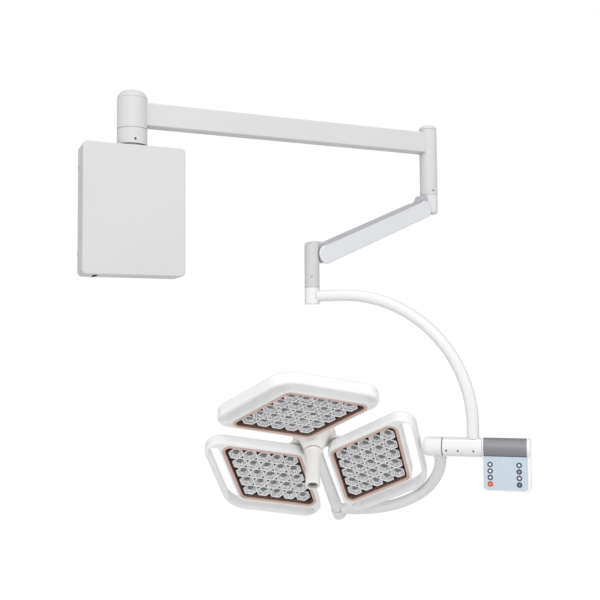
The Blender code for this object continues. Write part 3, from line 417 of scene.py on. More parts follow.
def modified(mesh, kind, **settings):
    """The mesh after one modifier with these settings."""
    helper = in_scene("helper", mesh)
    modifier = helper.modifiers.new(kind, kind)
    for name, value in settings.items():
        setattr(modifier, name, value)
    graph = bpy.context.evaluated_depsgraph_get()
    result = bpy.data.meshes.new_from_object(helper.evaluated_get(graph))
    bpy.data.objects.remove(helper, do_unlink=True)
    return result


def boolean(mesh, tool, operation):
    other = in_scene("tool", tool)
    result = modified(mesh, "BOOLEAN", operation=operation, solver="EXACT", object=other)
    bpy.data.objects.remove(other, do_unlink=True)
    return result


def cut(mesh, *tools):
    for tool in tools:
        mesh = boolean(mesh, tool, "DIFFERENCE")
    return mesh


def join(mesh, *tools):
    for tool in tools:
        mesh = boolean(mesh, tool, "UNION")
    return mesh


def bevelled(mesh, width, segments):
    """The mesh with its sharper edges bevelled."""
    return modified(mesh, "BEVEL", width=width, segments=segments, limit_method="ANGLE",
                    angle_limit=BEVEL_ANGLE, use_clamp_overlap=True)


# ---- materials ----

GAP_SHADE_TONE, GAP_REACH = 0.68, 0.018  # how dark the painted shade in a closed gap gets, and how near its walls have to be
MIX_COLOUR_A, MIX_COLOUR_B, MIX_COLOUR_RESULT = 6, 7, 2  # the Mix node's sockets for colours


def assign(node, values):
    """Sets a node's inputs by their names, with an underscore for each space."""
    for name, value in values.items():
        node.inputs[name.replace("_", " ")].default_value = value
    return node


def new_node(tree, kind, **values):
    return assign(tree.nodes.new("ShaderNode" + kind), values)


class Nodes:
    """A material's node tree, with short calls for the nodes that the finishes share."""

    def __init__(self, name):
        self.material = bpy.data.materials.new(name)
        self.material.use_nodes = True
        self.tree = self.material.node_tree
        self.shader = self.tree.nodes["Principled BSDF"]
        self.place = new_node(self.tree, "TexCoord").outputs["Object"]

    def link(self, start, end):
        self.tree.links.new(start, end)

    def stretched(self, scale, turn=(0.0, 0.0, 0.0)):
        """The place in the object's own axes, scaled and turned."""
        mapping = new_node(self.tree, "Mapping", Scale=scale, Rotation=turn)
        self.link(self.place, mapping.inputs["Vector"])
        return mapping.outputs["Vector"]

    def noise(self, scale, detail=3.0, roughness=0.5, place=None):
        node = new_node(self.tree, "TexNoise", Scale=scale, Detail=detail, Roughness=roughness)
        self.link(place or self.place, node.inputs["Vector"])
        return node.outputs["Fac"]

    def cells(self, scale, feature="F1"):
        node = new_node(self.tree, "TexVoronoi")
        node.feature = feature
        node.inputs["Scale"].default_value = scale
        self.link(self.place, node.inputs["Vector"])
        return node.outputs["Distance"]

    def ramp(self, value, low, high, start=0.3, end=0.7):
        """A colour between low and high as the value goes from start to end."""
        node = new_node(self.tree, "ValToRGB")
        for element, position, colour in zip(node.color_ramp.elements, (start, end), (low, high)):
            element.position = position
            element.color = (*colour, 1)
        self.link(value, node.inputs["Fac"])
        return node.outputs["Color"]

    def tone(self, *ramp):
        self.link(self.ramp(*ramp), self.shader.inputs["Base Color"])

    def gloss(self, value, low, high):
        """A roughness between low and high as the value goes from 0.3 to 0.7."""
        node = new_node(self.tree, "MapRange", From_Min=0.3, From_Max=0.7, To_Min=low, To_Max=high)
        self.link(value, node.inputs["Value"])
        self.link(node.outputs["Result"], self.shader.inputs["Roughness"])

    def paint_gap_shade(self, colour):
        """Sets the base colour to this colour with painted shade, down to a share of it in gaps and inner corners,
        where little light comes.
        """
        openness = new_node(self.tree, "AmbientOcclusion", Distance=GAP_REACH)
        openness.samples = 4
        shade = self.ramp(openness.outputs["AO"], (GAP_SHADE_TONE,) * 3, (1.0,) * 3, 0.25, 0.85)
        mix = new_node(self.tree, "Mix", Factor=1.0)
        mix.data_type = "RGBA"
        mix.blend_type = "MULTIPLY"
        self.link(colour, mix.inputs[MIX_COLOUR_A])
        self.link(shade, mix.inputs[MIX_COLOUR_B])
        self.link(mix.outputs[MIX_COLOUR_RESULT], self.shader.inputs["Base Color"])

    def bump(self, height, strength, distance):
        node = new_node(self.tree, "Bump", Strength=strength, Distance=distance)
        self.link(height, node.inputs["Height"])
        self.link(node.outputs["Normal"], self.shader.inputs["Normal"])

    def set(self, **values):
        assign(self.shader, values)


def shaded(colour, factor):
    return tuple(channel * factor for channel in colour)


def paint(name, colour, roughness, peel=0.06, coat=0.0, drift=0.965):
    """Baked enamel: a slow drift of tone, painted shade in gaps and inner corners, wiped smears in its gloss and a
    fine orange peel.
    """
    nodes = Nodes(name)
    nodes.paint_gap_shade(nodes.ramp(nodes.noise(5.0, 4.0), shaded(colour, drift), colour))
    smears = nodes.noise(9.0, 5.0, 0.6, nodes.stretched((1.0, 1.0, 3.5)))
    nodes.gloss(smears, roughness * 0.85, roughness * 1.2)
    nodes.bump(nodes.noise(420.0, 2.0), peel, 0.0006)
    nodes.set(Coat_Weight=coat, Coat_Roughness=0.08)
    return nodes.material


def moulded(name, colour, roughness, grain=900.0, strength=0.1, drift=0.95):
    """Moulded plastic: a fine spark-eroded grain, slightly uneven gloss and painted shade in gaps and inner
    corners.
    """
    nodes = Nodes(name)
    nodes.paint_gap_shade(nodes.ramp(nodes.noise(14.0, 3.0), shaded(colour, drift), colour))
    nodes.gloss(nodes.noise(30.0, 4.0), roughness * 0.85, roughness * 1.15)
    nodes.bump(nodes.cells(grain), strength, 0.0002)
    return nodes.material


def brushed(name, colour, roughness, along, metallic=1.0):
    """Brushed metal: long thin scratches along one direction of the frame."""
    nodes = Nodes(name)
    turn = UP.rotation_difference(Vector(along)).inverted().to_euler()
    lines = nodes.noise(1.0, 4.0, 0.65, nodes.stretched((1400.0, 1400.0, 22.0), turn))
    nodes.tone(lines, shaded(colour, 0.72), shaded(colour, 1.18))
    nodes.gloss(lines, roughness * 0.8, roughness * 1.25)
    nodes.bump(lines, 0.12, 0.0002)
    nodes.set(Metallic=metallic)
    return nodes.material


def glass(name):
    """The lenses' thin clear skin: mostly see-through, glossy and very slightly wavy."""
    nodes = Nodes(name)
    nodes.tone(nodes.noise(40.0), (0.93, 0.95, 0.98), (0.99, 0.99, 1.0))
    nodes.gloss(nodes.noise(60.0), 0.02, 0.07)
    nodes.bump(nodes.noise(160.0, 2.0), 0.1, 0.0008)
    nodes.set(Alpha=0.12, IOR=1.49)
    return nodes.material


def mirror_facets(name):
    """The lenses' inner facets: silvery, with small bright and dark patches painted in as glints and reflections.
    """
    nodes = Nodes(name)
    painted_glint_pattern = nodes.noise(330.0, 2.0, 0.7)
    nodes.tone(painted_glint_pattern, (0.22, 0.21, 0.23), (1.0, 1.0, 1.0), 0.43, 0.51)
    nodes.gloss(nodes.noise(200.0), 0.08, 0.28)
    nodes.bump(painted_glint_pattern, 0.5, 0.001)
    nodes.set(Metallic=0.45)
    return nodes.material


def board(name):
    """Brown solder mask with faint lighter tracks."""
    nodes = Nodes(name)
    tracks = nodes.cells(70.0, "DISTANCE_TO_EDGE")
    nodes.tone(tracks, (0.235, 0.15, 0.12), (0.175, 0.105, 0.085), 0.02, 0.1)
    nodes.gloss(nodes.noise(50.0), 0.4, 0.55)
    nodes.bump(nodes.noise(500.0), 0.08, 0.0002)
    return nodes.material


MATERIALS = {
    "gray_paint": paint("enamel_light_gray", (0.68, 0.682, 0.69), 0.5),
    "white_paint": paint("enamel_gloss_white", (0.875, 0.877, 0.884), 0.2, 0.04, 1.0),
    "blue_white_paint": paint("enamel_bluish_white", (0.76, 0.772, 0.806), 0.36),
    "warm_gray_paint": paint("enamel_warm_gray", (0.64, 0.63, 0.642), 0.42),
    # Painted shade: this darker lavender gray is on the knuckle's tongue, which lies in shade between the arm's
    # cheeks.
    "bush_paint": paint("enamel_lavender_gray", (0.53, 0.52, 0.58), 0.4),
    "white_plastic": moulded("moulded_white", (0.925, 0.925, 0.928), 0.22, drift=0.975),
    "cream_plastic": moulded("moulded_cream", (0.93, 0.918, 0.89), 0.34, strength=0.16, drift=0.97),
    "gray_plastic": moulded("moulded_mid_gray", (0.17, 0.172, 0.182), 0.5),
    "dark_plastic": moulded("moulded_dark", (0.03, 0.03, 0.034), 0.48),
    "button_dark": moulded("button_slate", (0.06, 0.075, 0.12), 0.42, 1400.0),
    "button_red": moulded("button_red", (0.76, 0.085, 0.03), 0.36, 1400.0),
    "pale_blue_plastic": moulded("membrane_pale_blue", (0.6, 0.69, 0.76), 0.33, 1800.0, 0.06, 0.97),
    "green_board": moulded("circuit_green", (0.03, 0.13, 0.06), 0.42, 700.0),
    "copper_trim": moulded("trim_rose_copper", (0.7, 0.5, 0.43), 0.32, 1600.0, 0.05, 0.93),
    "black_rubber": moulded("rubber_black", (0.022, 0.022, 0.023), 0.75, 600.0, 0.25),
    "bare_steel": brushed("steel_turned", (0.55, 0.55, 0.56), 0.3, UP),
    "bare_aluminium": brushed("aluminium_rolled", (0.68, 0.69, 0.7), 0.38, (1, 0, 0)),
    "brushed_grip": brushed("grip_brushed", (0.3, 0.3, 0.32), 0.5, C_HEADING, 0.45),
    "led_board_brown": board("board_brown"),
    "clear_lens": glass("lens_clear"),
}
FACET_METAL = mirror_facets("lens_facets")
# Painted highlight: the raised lens rims are bright white, standing in for the highlights along the clear lenses'
# edges.
LENS_RIM_HIGHLIGHT = moulded("lens_rim", (0.96, 0.96, 0.965), 0.12, 1600.0, 0.04)
# Painted shade: a darker gray for the lid along the sprung arm's top edge, where that edge lies in shade.
LID_PAINTED_SHADE = paint("enamel_lid_painted_shade", (0.48, 0.48, 0.505), 0.42)
BUTTON_CENTRES = {
    "power": moulded("button_red_centre", (0.9, 0.33, 0.2), 0.35, 1400.0),
    "focus_narrow": moulded("button_gray_centre", (0.33, 0.35, 0.4), 0.35, 1400.0),
    "cool_white": moulded("button_slate_centre", (0.21, 0.24, 0.29), 0.35, 1400.0),
}


# ---- pieces ----


def finish(mesh, material):
    """Gives a mesh its material, and smooth shading between its sharp edges."""
    mesh.materials.clear()
    mesh.materials.append(material)
    mesh.shade_smooth()
    mesh.set_sharp_from_angle(angle=SMOOTH_ANGLE)


def show(name, mesh, slot, body, where, replaces=(), material=None):
    """Puts a finished mesh in the scene as a piece of one body."""
    mesh.transform(where)
    mesh.name = name
    finish(mesh, material or MATERIALS[slot])
    obj = in_scene(name, mesh)
    weighted = obj.modifiers.new("Weighted normals", "WEIGHTED_NORMAL")
    weighted.keep_sharp = True
    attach(obj, body)
    if replaces:
        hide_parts(*replaces)
    return obj


def skin(node, mesh, slot, body, where):
    """Shows a mesh in place of the CAD node that it is named after."""
    return show(node + "_skin", mesh, slot, body, where, [node])


def pointing(at, direction):
    """A frame at a point with Z along the direction."""
    z = Vector(direction).normalized()
    helper = Vector((1, 0, 0)) if abs(z.x) < 0.8 else Vector((0, 1, 0))
    return axes_frame(at, helper.cross(z), z)


def socket_screw(name, radius, at, direction, body, sunk, slot="bare_steel"):
    """A small set screw with a hexagon socket, its face a little below the surface at the point."""
    face = -sunk
    blank = turned([(0, face - 0.004), (radius, face - 0.004), (radius, face), (0, face)], 0.0003, 24)
    socket = loft([polygon(0.55 * radius, z) for z in (face - 0.0025, face + 0.002)])
    return show(name, cut(blank, socket), slot, body, pointing(at, direction))


def drill(mesh, at, direction, radius, depth=0.006):
    """A round hole into a mesh, from just outside the point."""
    return cut(mesh, moved(bar(radius, -depth, 0.004, 0.0, 24), pointing(at, direction)))


# ---- wall unit ----


def build_wall_unit():
    body = "wall_unit"

    def ring(amount, out):
        half_w, half_h = BOX_WIDTH / 2 - amount, BOX_HEIGHT / 2 - amount
        outline = box_outline(-half_w, half_w, -half_h, half_h, max(BOX_CORNER - amount, 0.003))
        return at_height(outline, out)

    outside = [ring(0.0006, PLATE_THICKNESS + GAP), ring(0, PLATE_THICKNESS + GAP + 0.0006)]
    outside += [ring(back, BOX_DEPTH - BOX_EDGE + on) for on, back in quarter_arc(BOX_EDGE, BOX_EDGE, 5)]
    inside = [ring(COVER_WALL, -0.01), ring(COVER_WALL, BOX_DEPTH - BOX_EDGE)]
    inside.append(ring(BOX_EDGE + COVER_WALL, BOX_DEPTH - COVER_WALL))
    half = SLOT_WIDTH / 2
    slot = box_outline(SLOT_X - half, SLOT_X + half, SLOT_FRONT, SLOT_BACK, SLOT_WIDTH * 0.49)
    slot_tool = plate(slot, -BOX_TOP - 0.01, -BOX_TOP + 0.01)
    neck_tool = bar(NECK_RADIUS + GAP, 0.15, 0.18, 0.0)
    to_wall = WALL_FRAME.inverted()
    tools = (loft(inside), moved(slot_tool, to_wall), moved(neck_tool, to_wall @ POST_FRAME))
    cover = cut(loft(outside), *tools)
    skin("wall_cover", cover, "gray_paint", body, WALL_FRAME)
    head = [(0, -0.001), (0.0042, -0.001), (0.004, 0.0009), (0.0022, 0.0019), (0, 0.0021)]
    groove = plate(box_outline(-0.003, 0.003, -0.0005, 0.0005, 0.0002), 0.001, 0.004)
    screw = cut(turned(head, 0.0004, 32), groove)
    for side, out in (("left", -1), ("right", 1)):
        for level, z in (("low", -COVER_SCREW_Z), ("high", COVER_SCREW_Z)):
            where = pointing((out * BOX_WIDTH / 2, COVER_SCREW_Y, z), (out, 0, 0))
            show(f"cover_screw_{side}_{level}", screw.copy(), "bare_steel", body, where)

    sleeve = tube(SPINDLE_RADIUS + GAP, POST_RADIUS, POST_BOTTOM, POST_SEAM - 0.0012, 0.0008)
    screw_at = Vector((0, -POST_RADIUS, POST_SCREW_Z))
    sleeve = drill(sleeve, screw_at, (0, -1, 0), 0.0034)
    skin("post_sleeve", sleeve, "gray_paint", body, POST_FRAME)
    at = POST_FRAME @ screw_at
    screw = socket_screw("post_screw", 0.0031, at, (0, -1, 0), body, 0.0008, "gray_plastic")
    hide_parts("post_brake_screw")


# ---- main arm ----


def build_main_arm():
    body = "main_arm"
    hub = tube(SPINDLE_RADIUS + GAP, POST_RADIUS, POST_SEAM, HUB_TOP, 0.0003)
    skin("main_arm_hub", hub, "gray_paint", body, POST_FRAME)
    cap = turned([
        (0, HUB_TOP + GAP), (POST_RADIUS, HUB_TOP + GAP), (POST_RADIUS, HUB_TOP + 0.002),
        (POST_RADIUS - 0.0025, HUB_TOP + 0.0085), (POST_RADIUS - 0.009, POST_CAP_TOP - 0.0025),
        (POST_RADIUS - 0.014, POST_CAP_TOP - 0.0008), (0, POST_CAP_TOP),
    ], [0.0001, 0.01, 0.01, 0.01, 0.01])
    skin("post_cap", cap, "gray_paint", body, POST_FRAME)

    half = BEAM_WIDTH / 2
    outline = box_outline(-half, half, BEAM_BOTTOM, BEAM_TOP, BEAM_CORNER)
    length = COLUMN_FRAME.translation.x
    beam = plate(outline, POST_RADIUS - 0.01, length - COLUMN_RADIUS + 0.01)
    skin("main_arm_beam", beam, "gray_paint", body, BEAM_FRAME)

    column = bar(COLUMN_RADIUS, COLUMN_BOTTOM, COLUMN_TOP, 0.0008, LIMB_SEGMENTS)
    bore = bar(COLUMN_BORE, COLUMN_BOTTOM - 0.01, COLUMN_BORE_TOP, 0.0)
    screw_at = Vector((0, -COLUMN_RADIUS, COLUMN_SCREW_Z))
    column = drill(cut(column, bore), screw_at, (0, -1, 0), 0.0026)
    show("column_skin", column, "gray_paint", body, COLUMN_FRAME, ["column_tube"])
    at = COLUMN_FRAME @ screw_at
    socket_screw("column_screw", 0.0024, at, (0, -1, 0), body, 0.0012, "dark_plastic")
    cap = turned([
        (0, COLUMN_TOP + GAP), (COLUMN_RADIUS, COLUMN_TOP + GAP), (COLUMN_RADIUS, COLUMN_TOP + 0.003),
        (COLUMN_RADIUS - 0.0015, COLUMN_TOP + 0.0075), (COLUMN_RADIUS - 0.0055, COLUMN_CAP_TOP - 0.003),
        (COLUMN_RADIUS - 0.011, COLUMN_CAP_TOP - 0.0008), (0, COLUMN_CAP_TOP),
    ], 0.008)
    skin("column_cap", cap, "gray_paint", body, COLUMN_FRAME)


# ---- knuckle, sprung arm and elbow ----

SIDEWAYS = Matrix.Rotation(-math.pi / 2, 4, "X")  # turns Z into Y, so a bar lies across the arm


def across(mesh):
    return moved(mesh, SIDEWAYS)


def across_plate(outline, y0, y1, edge=0.0, steps=5):
    """An outline of (x, z) points, anticlockwise with Z up and X to the right, extruded across the arm."""
    flipped = [(x, -z) for x, z in reversed(outline)]
    return across(plate(flipped, y0, y1, edge, edge, steps))


def block(x0, x1, y0, y1, z0, z1):
    return loft([at_height(rectangle(x0, x1, y0, y1), z) for z in (z0, z1)])


def build_knuckle():
    r = COLUMN_RADIUS
    low, high = KNUCKLE_BOTTOM - UPPER_PIVOT.z, COLUMN_BOTTOM - GAP - UPPER_PIVOT.z
    barrel = bar(r, low, high, [0.007, 0.0006], LIMB_SEGMENTS)
    where = KNUCKLE_FRAME @ Matrix.Translation((-UPPER_OFFSET, 0, 0))
    show("knuckle_barrel", barrel, "blue_white_paint", "knuckle", where, ["upper_knuckle"])
    side = [
        (-UPPER_OFFSET, low + 0.001), (-0.004, -TONGUE_NOSE), (0.0166, 0.012), (0.0125, 0.022),
        (-0.001, high - 0.004), (-UPPER_OFFSET, high - 0.004),
    ]
    radii = [0.001, 0.001, 0.004, 0.006, 0.003, 0.001]
    tongue = across_plate(rounded(side, radii, 6), -TONGUE_HALF_WIDTH, TONGUE_HALF_WIDTH, 0.0008)
    nose = across(bar(TONGUE_NOSE, -TONGUE_HALF_WIDTH, TONGUE_HALF_WIDTH, 0.0008, 64))
    # The tongue's darker lavender gray is painted shade for the recess between the arm's cheeks.
    show("knuckle_tongue", join(tongue, nose), "bush_paint", "knuckle", KNUCKLE_FRAME)


def build_spring_arm():
    body = "spring_arm"
    height, inner = ARM_HALF_HEIGHT, ARM_HALF_WIDTH - ARM_WALL
    ends = box_outline(-height, SPRING_LENGTH + height, -height, height, height * 0.98, 16)
    shell = across_plate(ends, -ARM_HALF_WIDTH, ARM_HALF_WIDTH, 0.0028)
    channel = block(-BEYOND, SPRING_LENGTH + BEYOND, -inner, inner, -BEYOND, height - ARM_WALL)
    shell = cut(shell, channel)
    for x0, x1 in ((-BEYOND, MOUTH), (SPRING_LENGTH - MOUTH, SPRING_LENGTH + BEYOND)):
        shell = cut(shell, block(x0, x1, -inner, inner, -BEYOND, BEYOND))
    show("spring_arm_skin", shell, "blue_white_paint", body, ARM_FRAME, ["spring_arm_shell"])
    cover = box_outline(0.038, SPRING_LENGTH - 0.04, -inner + GAP, inner - GAP, 0.002)
    cover = plate(cover, -height, -height + 0.0025, 0.0006)
    skin("spring_arm_cover", cover, "blue_white_paint", body, ARM_FRAME)
    # The lid along the arm's top edge gets a darker gray: painted shade for the edge that lies in shade.
    start, end, top = 0.012, SPRING_LENGTH - 0.006, height + 0.0009
    lid_side = [
        (start, height - 0.0012), (0.06, height - LID_HEIGHT), (SPRING_LENGTH - 0.045, height - LID_HEIGHT),
        (end, height - 0.0012), (end, top), (start, top),
    ]
    lid_side = rounded(lid_side, [0.0005, 0.02, 0.02, 0.0005, 0.0006, 0.0006], 6)
    lid = across_plate(lid_side, -ARM_HALF_WIDTH - 0.0006, ARM_HALF_WIDTH + 0.0006, 0.0005)
    inside = rectangle(0.0, SPRING_LENGTH, -BEYOND, height - 0.0002)
    hollow = across_plate(inside, -ARM_HALF_WIDTH + 0.0003, ARM_HALF_WIDTH - 0.0003)
    show("spring_arm_lid", cut(lid, hollow), "bush_paint", body, ARM_FRAME, material=LID_PAINTED_SHADE)


def build_elbow():
    top, bottom = ELBOW_TOP - LOWER_PIVOT.z, ELBOW_BOTTOM + GAP / 2 - LOWER_PIVOT.z
    r, seam = ELBOW_RADIUS, ELBOW_SEAM_Z - LOWER_PIVOT.z
    barrel = turned([
        (0, bottom), (r, bottom), (r, seam - 0.0004), (r - 0.0005, seam), (r, seam + 0.0004),
        (r, top), (0, top),
    ], [0.0005, 0.0005, 0.0005, 0.0005, 0.015])
    barrel = moved(barrel, Matrix.Translation((ELBOW_OFFSET, 0, 0)))
    reach = 0.0215
    tongue = rounded(rectangle(-reach, ELBOW_OFFSET, -reach, top - 0.0006),
                     [reach * 0.97, 0.001, 0.001, reach * 0.97], 14)
    shape = join(barrel, across_plate(tongue, -TONGUE_HALF_WIDTH, TONGUE_HALF_WIDTH, 0.0008, 3))
    outline = rounded(rectangle(-0.1, ELBOW_OFFSET + r + 0.0002, -0.2, top + 0.0002),
                      [0.01, 0.01, ELBOW_CORNER, 0.01], 24)
    shape = boolean(shape, across_plate(outline, -0.05, 0.05), "INTERSECT")
    shape = bevelled(shape, 0.001, 3)
    shape = cut(shape, across(bar(PIN_RADIUS + GAP, -0.05, 0.05, 0.0)))
    show("elbow_skin", shape, "warm_gray_paint", "elbow", TONGUE_FRAME, ["elbow_housing"])
    out = Vector((-0.45, -0.89, 0)).normalized()
    at = ELBOW_FRAME.translation + out * r + UP * ELBOW_SCREW_Z
    socket_screw("elbow_screw", 0.0022, at, out, "elbow", -0.0002, "gray_plastic")


# ---- C-shaped arm ----


def build_c_arm():
    body = "c_arm"
    r = ELBOW_RADIUS + 0.0004
    sleeve = turned([
        (0, SWIVEL_BOTTOM), (r - 0.002, SWIVEL_BOTTOM), (r, SWIVEL_BOTTOM + 0.002),
        (r, ELBOW_BOTTOM - GAP), (0, ELBOW_BOTTOM - GAP),
    ], 0.0012)
    bore = bar(SWIVEL_BORE, SWIVEL_BOTTOM + 0.005, ELBOW_BOTTOM + 0.01, 0.0)
    skin("swivel_sleeve", cut(sleeve, bore), "white_paint", body, ELBOW_FRAME)

    height = C_TUBE_Z - HEAD_CENTRE.z
    path = [(r - 0.004, 0, height)]
    path += [(C_STRAIGHT + out, 0, height - down) for out, down in quarter_arc(C_BEND, C_BEND, 48)]
    path.append((C_STRAIGHT + C_BEND, 0, SLEEVE_RADIUS - 0.003))
    skin("c_arm_tube", swept(path, C_TUBE_RADIUS), "white_paint", body, C_FRAME)

    sleeve = turned([
        (0, SLEEVE_START), (SLEEVE_RADIUS - 0.0014, SLEEVE_START), (SLEEVE_RADIUS, SLEEVE_START + 0.0014),
        (SLEEVE_RADIUS, SLEEVE_END - 0.006),
        (SLEEVE_RADIUS - 0.0003, SLEEVE_END - 0.0056), (SLEEVE_RADIUS, SLEEVE_END - 0.0052),
        (SLEEVE_RADIUS, SLEEVE_END), (0, SLEEVE_END),
    ], 0.0007)
    sleeve = cut(sleeve, bar(YOKE_AXLE_RADIUS + GAP, SLEEVE_START - 0.01, YOKE_AXLE_END + 0.005, 0.0))
    out = Vector((math.sin(SLEEVE_SCREW_DROP), -math.cos(SLEEVE_SCREW_DROP), 0))
    for number, along in enumerate(SLEEVE_SCREWS):
        at = SLEEVE_RADIUS * out + Vector((0, 0, along))
        sleeve = drill(sleeve, at, out, 0.0024, 0.004)
        socket_screw(f"sleeve_screw_{number}", 0.0023, SLEEVE_FRAME @ at, SLEEVE_FRAME.to_3x3() @ out,
                     body, 0.0008, "dark_plastic")
    skin("horizontal_sleeve", sleeve, "white_paint", body, SLEEVE_FRAME)


def build_control_unit():
    body = "c_arm"
    radius, front = SLEEVE_RADIUS + 0.0008, -CONTROL_FRONT
    facing = QUARTER_X  # Z out of the panel's face
    leg = rectangle(CONTROL_START, CONTROL_END, CONTROL_BOTTOM, 0.0)
    leg = plate(rounded(leg, [0.009, 0.009, 0.002, 0.002]), -CONTROL_BACK, front, 0.0025, 0.0016)
    barrel = turned([
        (0, CONTROL_START), (radius, CONTROL_START), (radius, CONTROL_END - 0.0035),
        (radius - 0.0012, CONTROL_END - 0.001), (radius - 0.004, CONTROL_END), (0, CONTROL_END),
    ], 0.0016)
    shape = join(moved(barrel, QUARTER_Y), moved(leg, facing))
    grip_start, grip_end = CONTROL_START + CHEEK, CONTROL_END - END_CHEEK
    seat = moved(bar(radius + 0.004, grip_start, grip_end, 0.0, LIMB_SEGMENTS), QUARTER_Y)
    face = rectangle(grip_start, grip_end + 0.0005, CONTROL_BOTTOM + 0.003, -SLEEVE_RADIUS + 0.0045)
    face = rounded(face, [0.007, 0.007, 0.001, 0.001])
    recess = moved(plate(face, front - 0.0018, front + 0.01), facing)
    shape = cut(shape, seat, recess)
    skin("control_housing", shape, "white_plastic", body, C_FRAME)
    grip = tube(0.015, SLEEVE_RADIUS, grip_start + GAP, grip_end - GAP, 0.0005)
    skin("control_grip", grip, "brushed_grip", body, SLEEVE_FRAME)

    rim = turned([
        (0, 0.0055), (BUTTON_RADIUS, 0.0055), (BUTTON_RADIUS, front + 0.0008),
        (BUTTON_RADIUS - 0.001, front + 0.0014), (BUTTON_RADIUS * 0.56, front + 0.0011),
        (BUTTON_RADIUS * 0.5, front + 0.0006), (0, front + 0.0006),
    ], 0.0004, 40)
    centre = turned([
        (0, front + 0.0004), (BUTTON_RADIUS * 0.49, front + 0.0004),
        (BUTTON_RADIUS * 0.49, front + 0.0009), (0, front + 0.0013),
    ], 0.0003, 32)
    membrane = plate(inset(face, GAP), front - 0.0016, front + 0.0004, 0.0, 0.0003, 3)
    for column, names in zip(BUTTON_COLUMNS, BUTTON_NAMES):
        for row, name in enumerate(names):
            spot = Matrix.Translation((column, BUTTON_TOP - row * BUTTON_PITCH, 0))
            membrane = cut(membrane, moved(bar(BUTTON_RADIUS + GAP, 0.0, 0.05, 0.0, 40), spot))
            key_body, where = "key_" + name, C_FRAME @ facing @ spot
            slot = "button_red" if name == "power" else "button_dark"
            show(f"button_{name}_rim", rim.copy(), slot, key_body, where, ["button_" + name])
            light = BUTTON_CENTRES.get(name)
            show(f"button_{name}_centre", centre.copy(), "white_plastic", key_body, where, material=light)
    show("control_membrane", membrane, "pale_blue_plastic", body, C_FRAME @ facing, ["control_panel"])


# ---- yoke ----


def build_yoke():
    body = "yoke"
    r = SLEEVE_RADIUS
    cap = turned([
        (0, CAP_START), (r - 0.007, CAP_START), (r - 0.0025, CAP_START + 0.002), (r, CAP_START + 0.0065),
        (r, SLEEVE_START - 0.003), (r - 0.0016, SLEEVE_START - 0.0014),
        (YOKE_AXLE_RADIUS, SLEEVE_START - 0.0012), (YOKE_AXLE_RADIUS, YOKE_AXLE_END), (0, YOKE_AXLE_END),
    ], 0.002)
    skin("yoke_cap", cap, "white_paint", body, SLEEVE_FRAME)
    # Painted shadow: a dark ring fills the gap between the cap and the sleeve, so that the gap shows as a dark
    # line.
    gap_shadow_ring = tube(0.0123, r - 0.0012, SLEEVE_START - 0.0014, SLEEVE_START - 0.0001, 0.0002)
    show("yoke_gap_shadow_ring", gap_shadow_ring, "dark_plastic", body, SLEEVE_FRAME)
    straight = YOKE_DEPTH - YOKE_BEND_ALONG
    path = [(YOKE_ROOT, 0, -r + 0.003)]
    for k in range(1, 8):
        share = k / 8
        swell = (YOKE_REACH - YOKE_ROOT) * share * share * (3 - 2 * share)
        path.append((YOKE_ROOT + swell, 0, -r + 0.003 - (straight + 0.01) * share))
    for down, back in quarter_arc(YOKE_BEND_ALONG, YOKE_BEND_ACROSS, 48)[3:]:
        path.append((YOKE_REACH - back, 0, -straight - down))
    path.append((STEM_SLEEVE_RADIUS - 0.003, 0, -YOKE_DEPTH))
    skin("yoke_tube", swept(path, YOKE_TUBE_RADIUS), "white_paint", body, YOKE_FRAME)
    s, start = STEM_SLEEVE_RADIUS + 0.0022, STEM_SEAM + 0.001
    sleeve = turned([
        (0, start), (s, start), (s, STEM_END - 0.006), (s - 0.002, STEM_END - 0.0022),
        (s - 0.0065, STEM_END), (0, STEM_END),
    ], 0.003)
    bore = bar(STEM_PIN_RADIUS + GAP, start - 0.01, STEM_END - 0.008, 0.0)
    show("yoke_end_skin", cut(sleeve, bore), "white_paint", body, STEM_FRAME, ["yoke_end_sleeve"])


# ---- lamp head ----


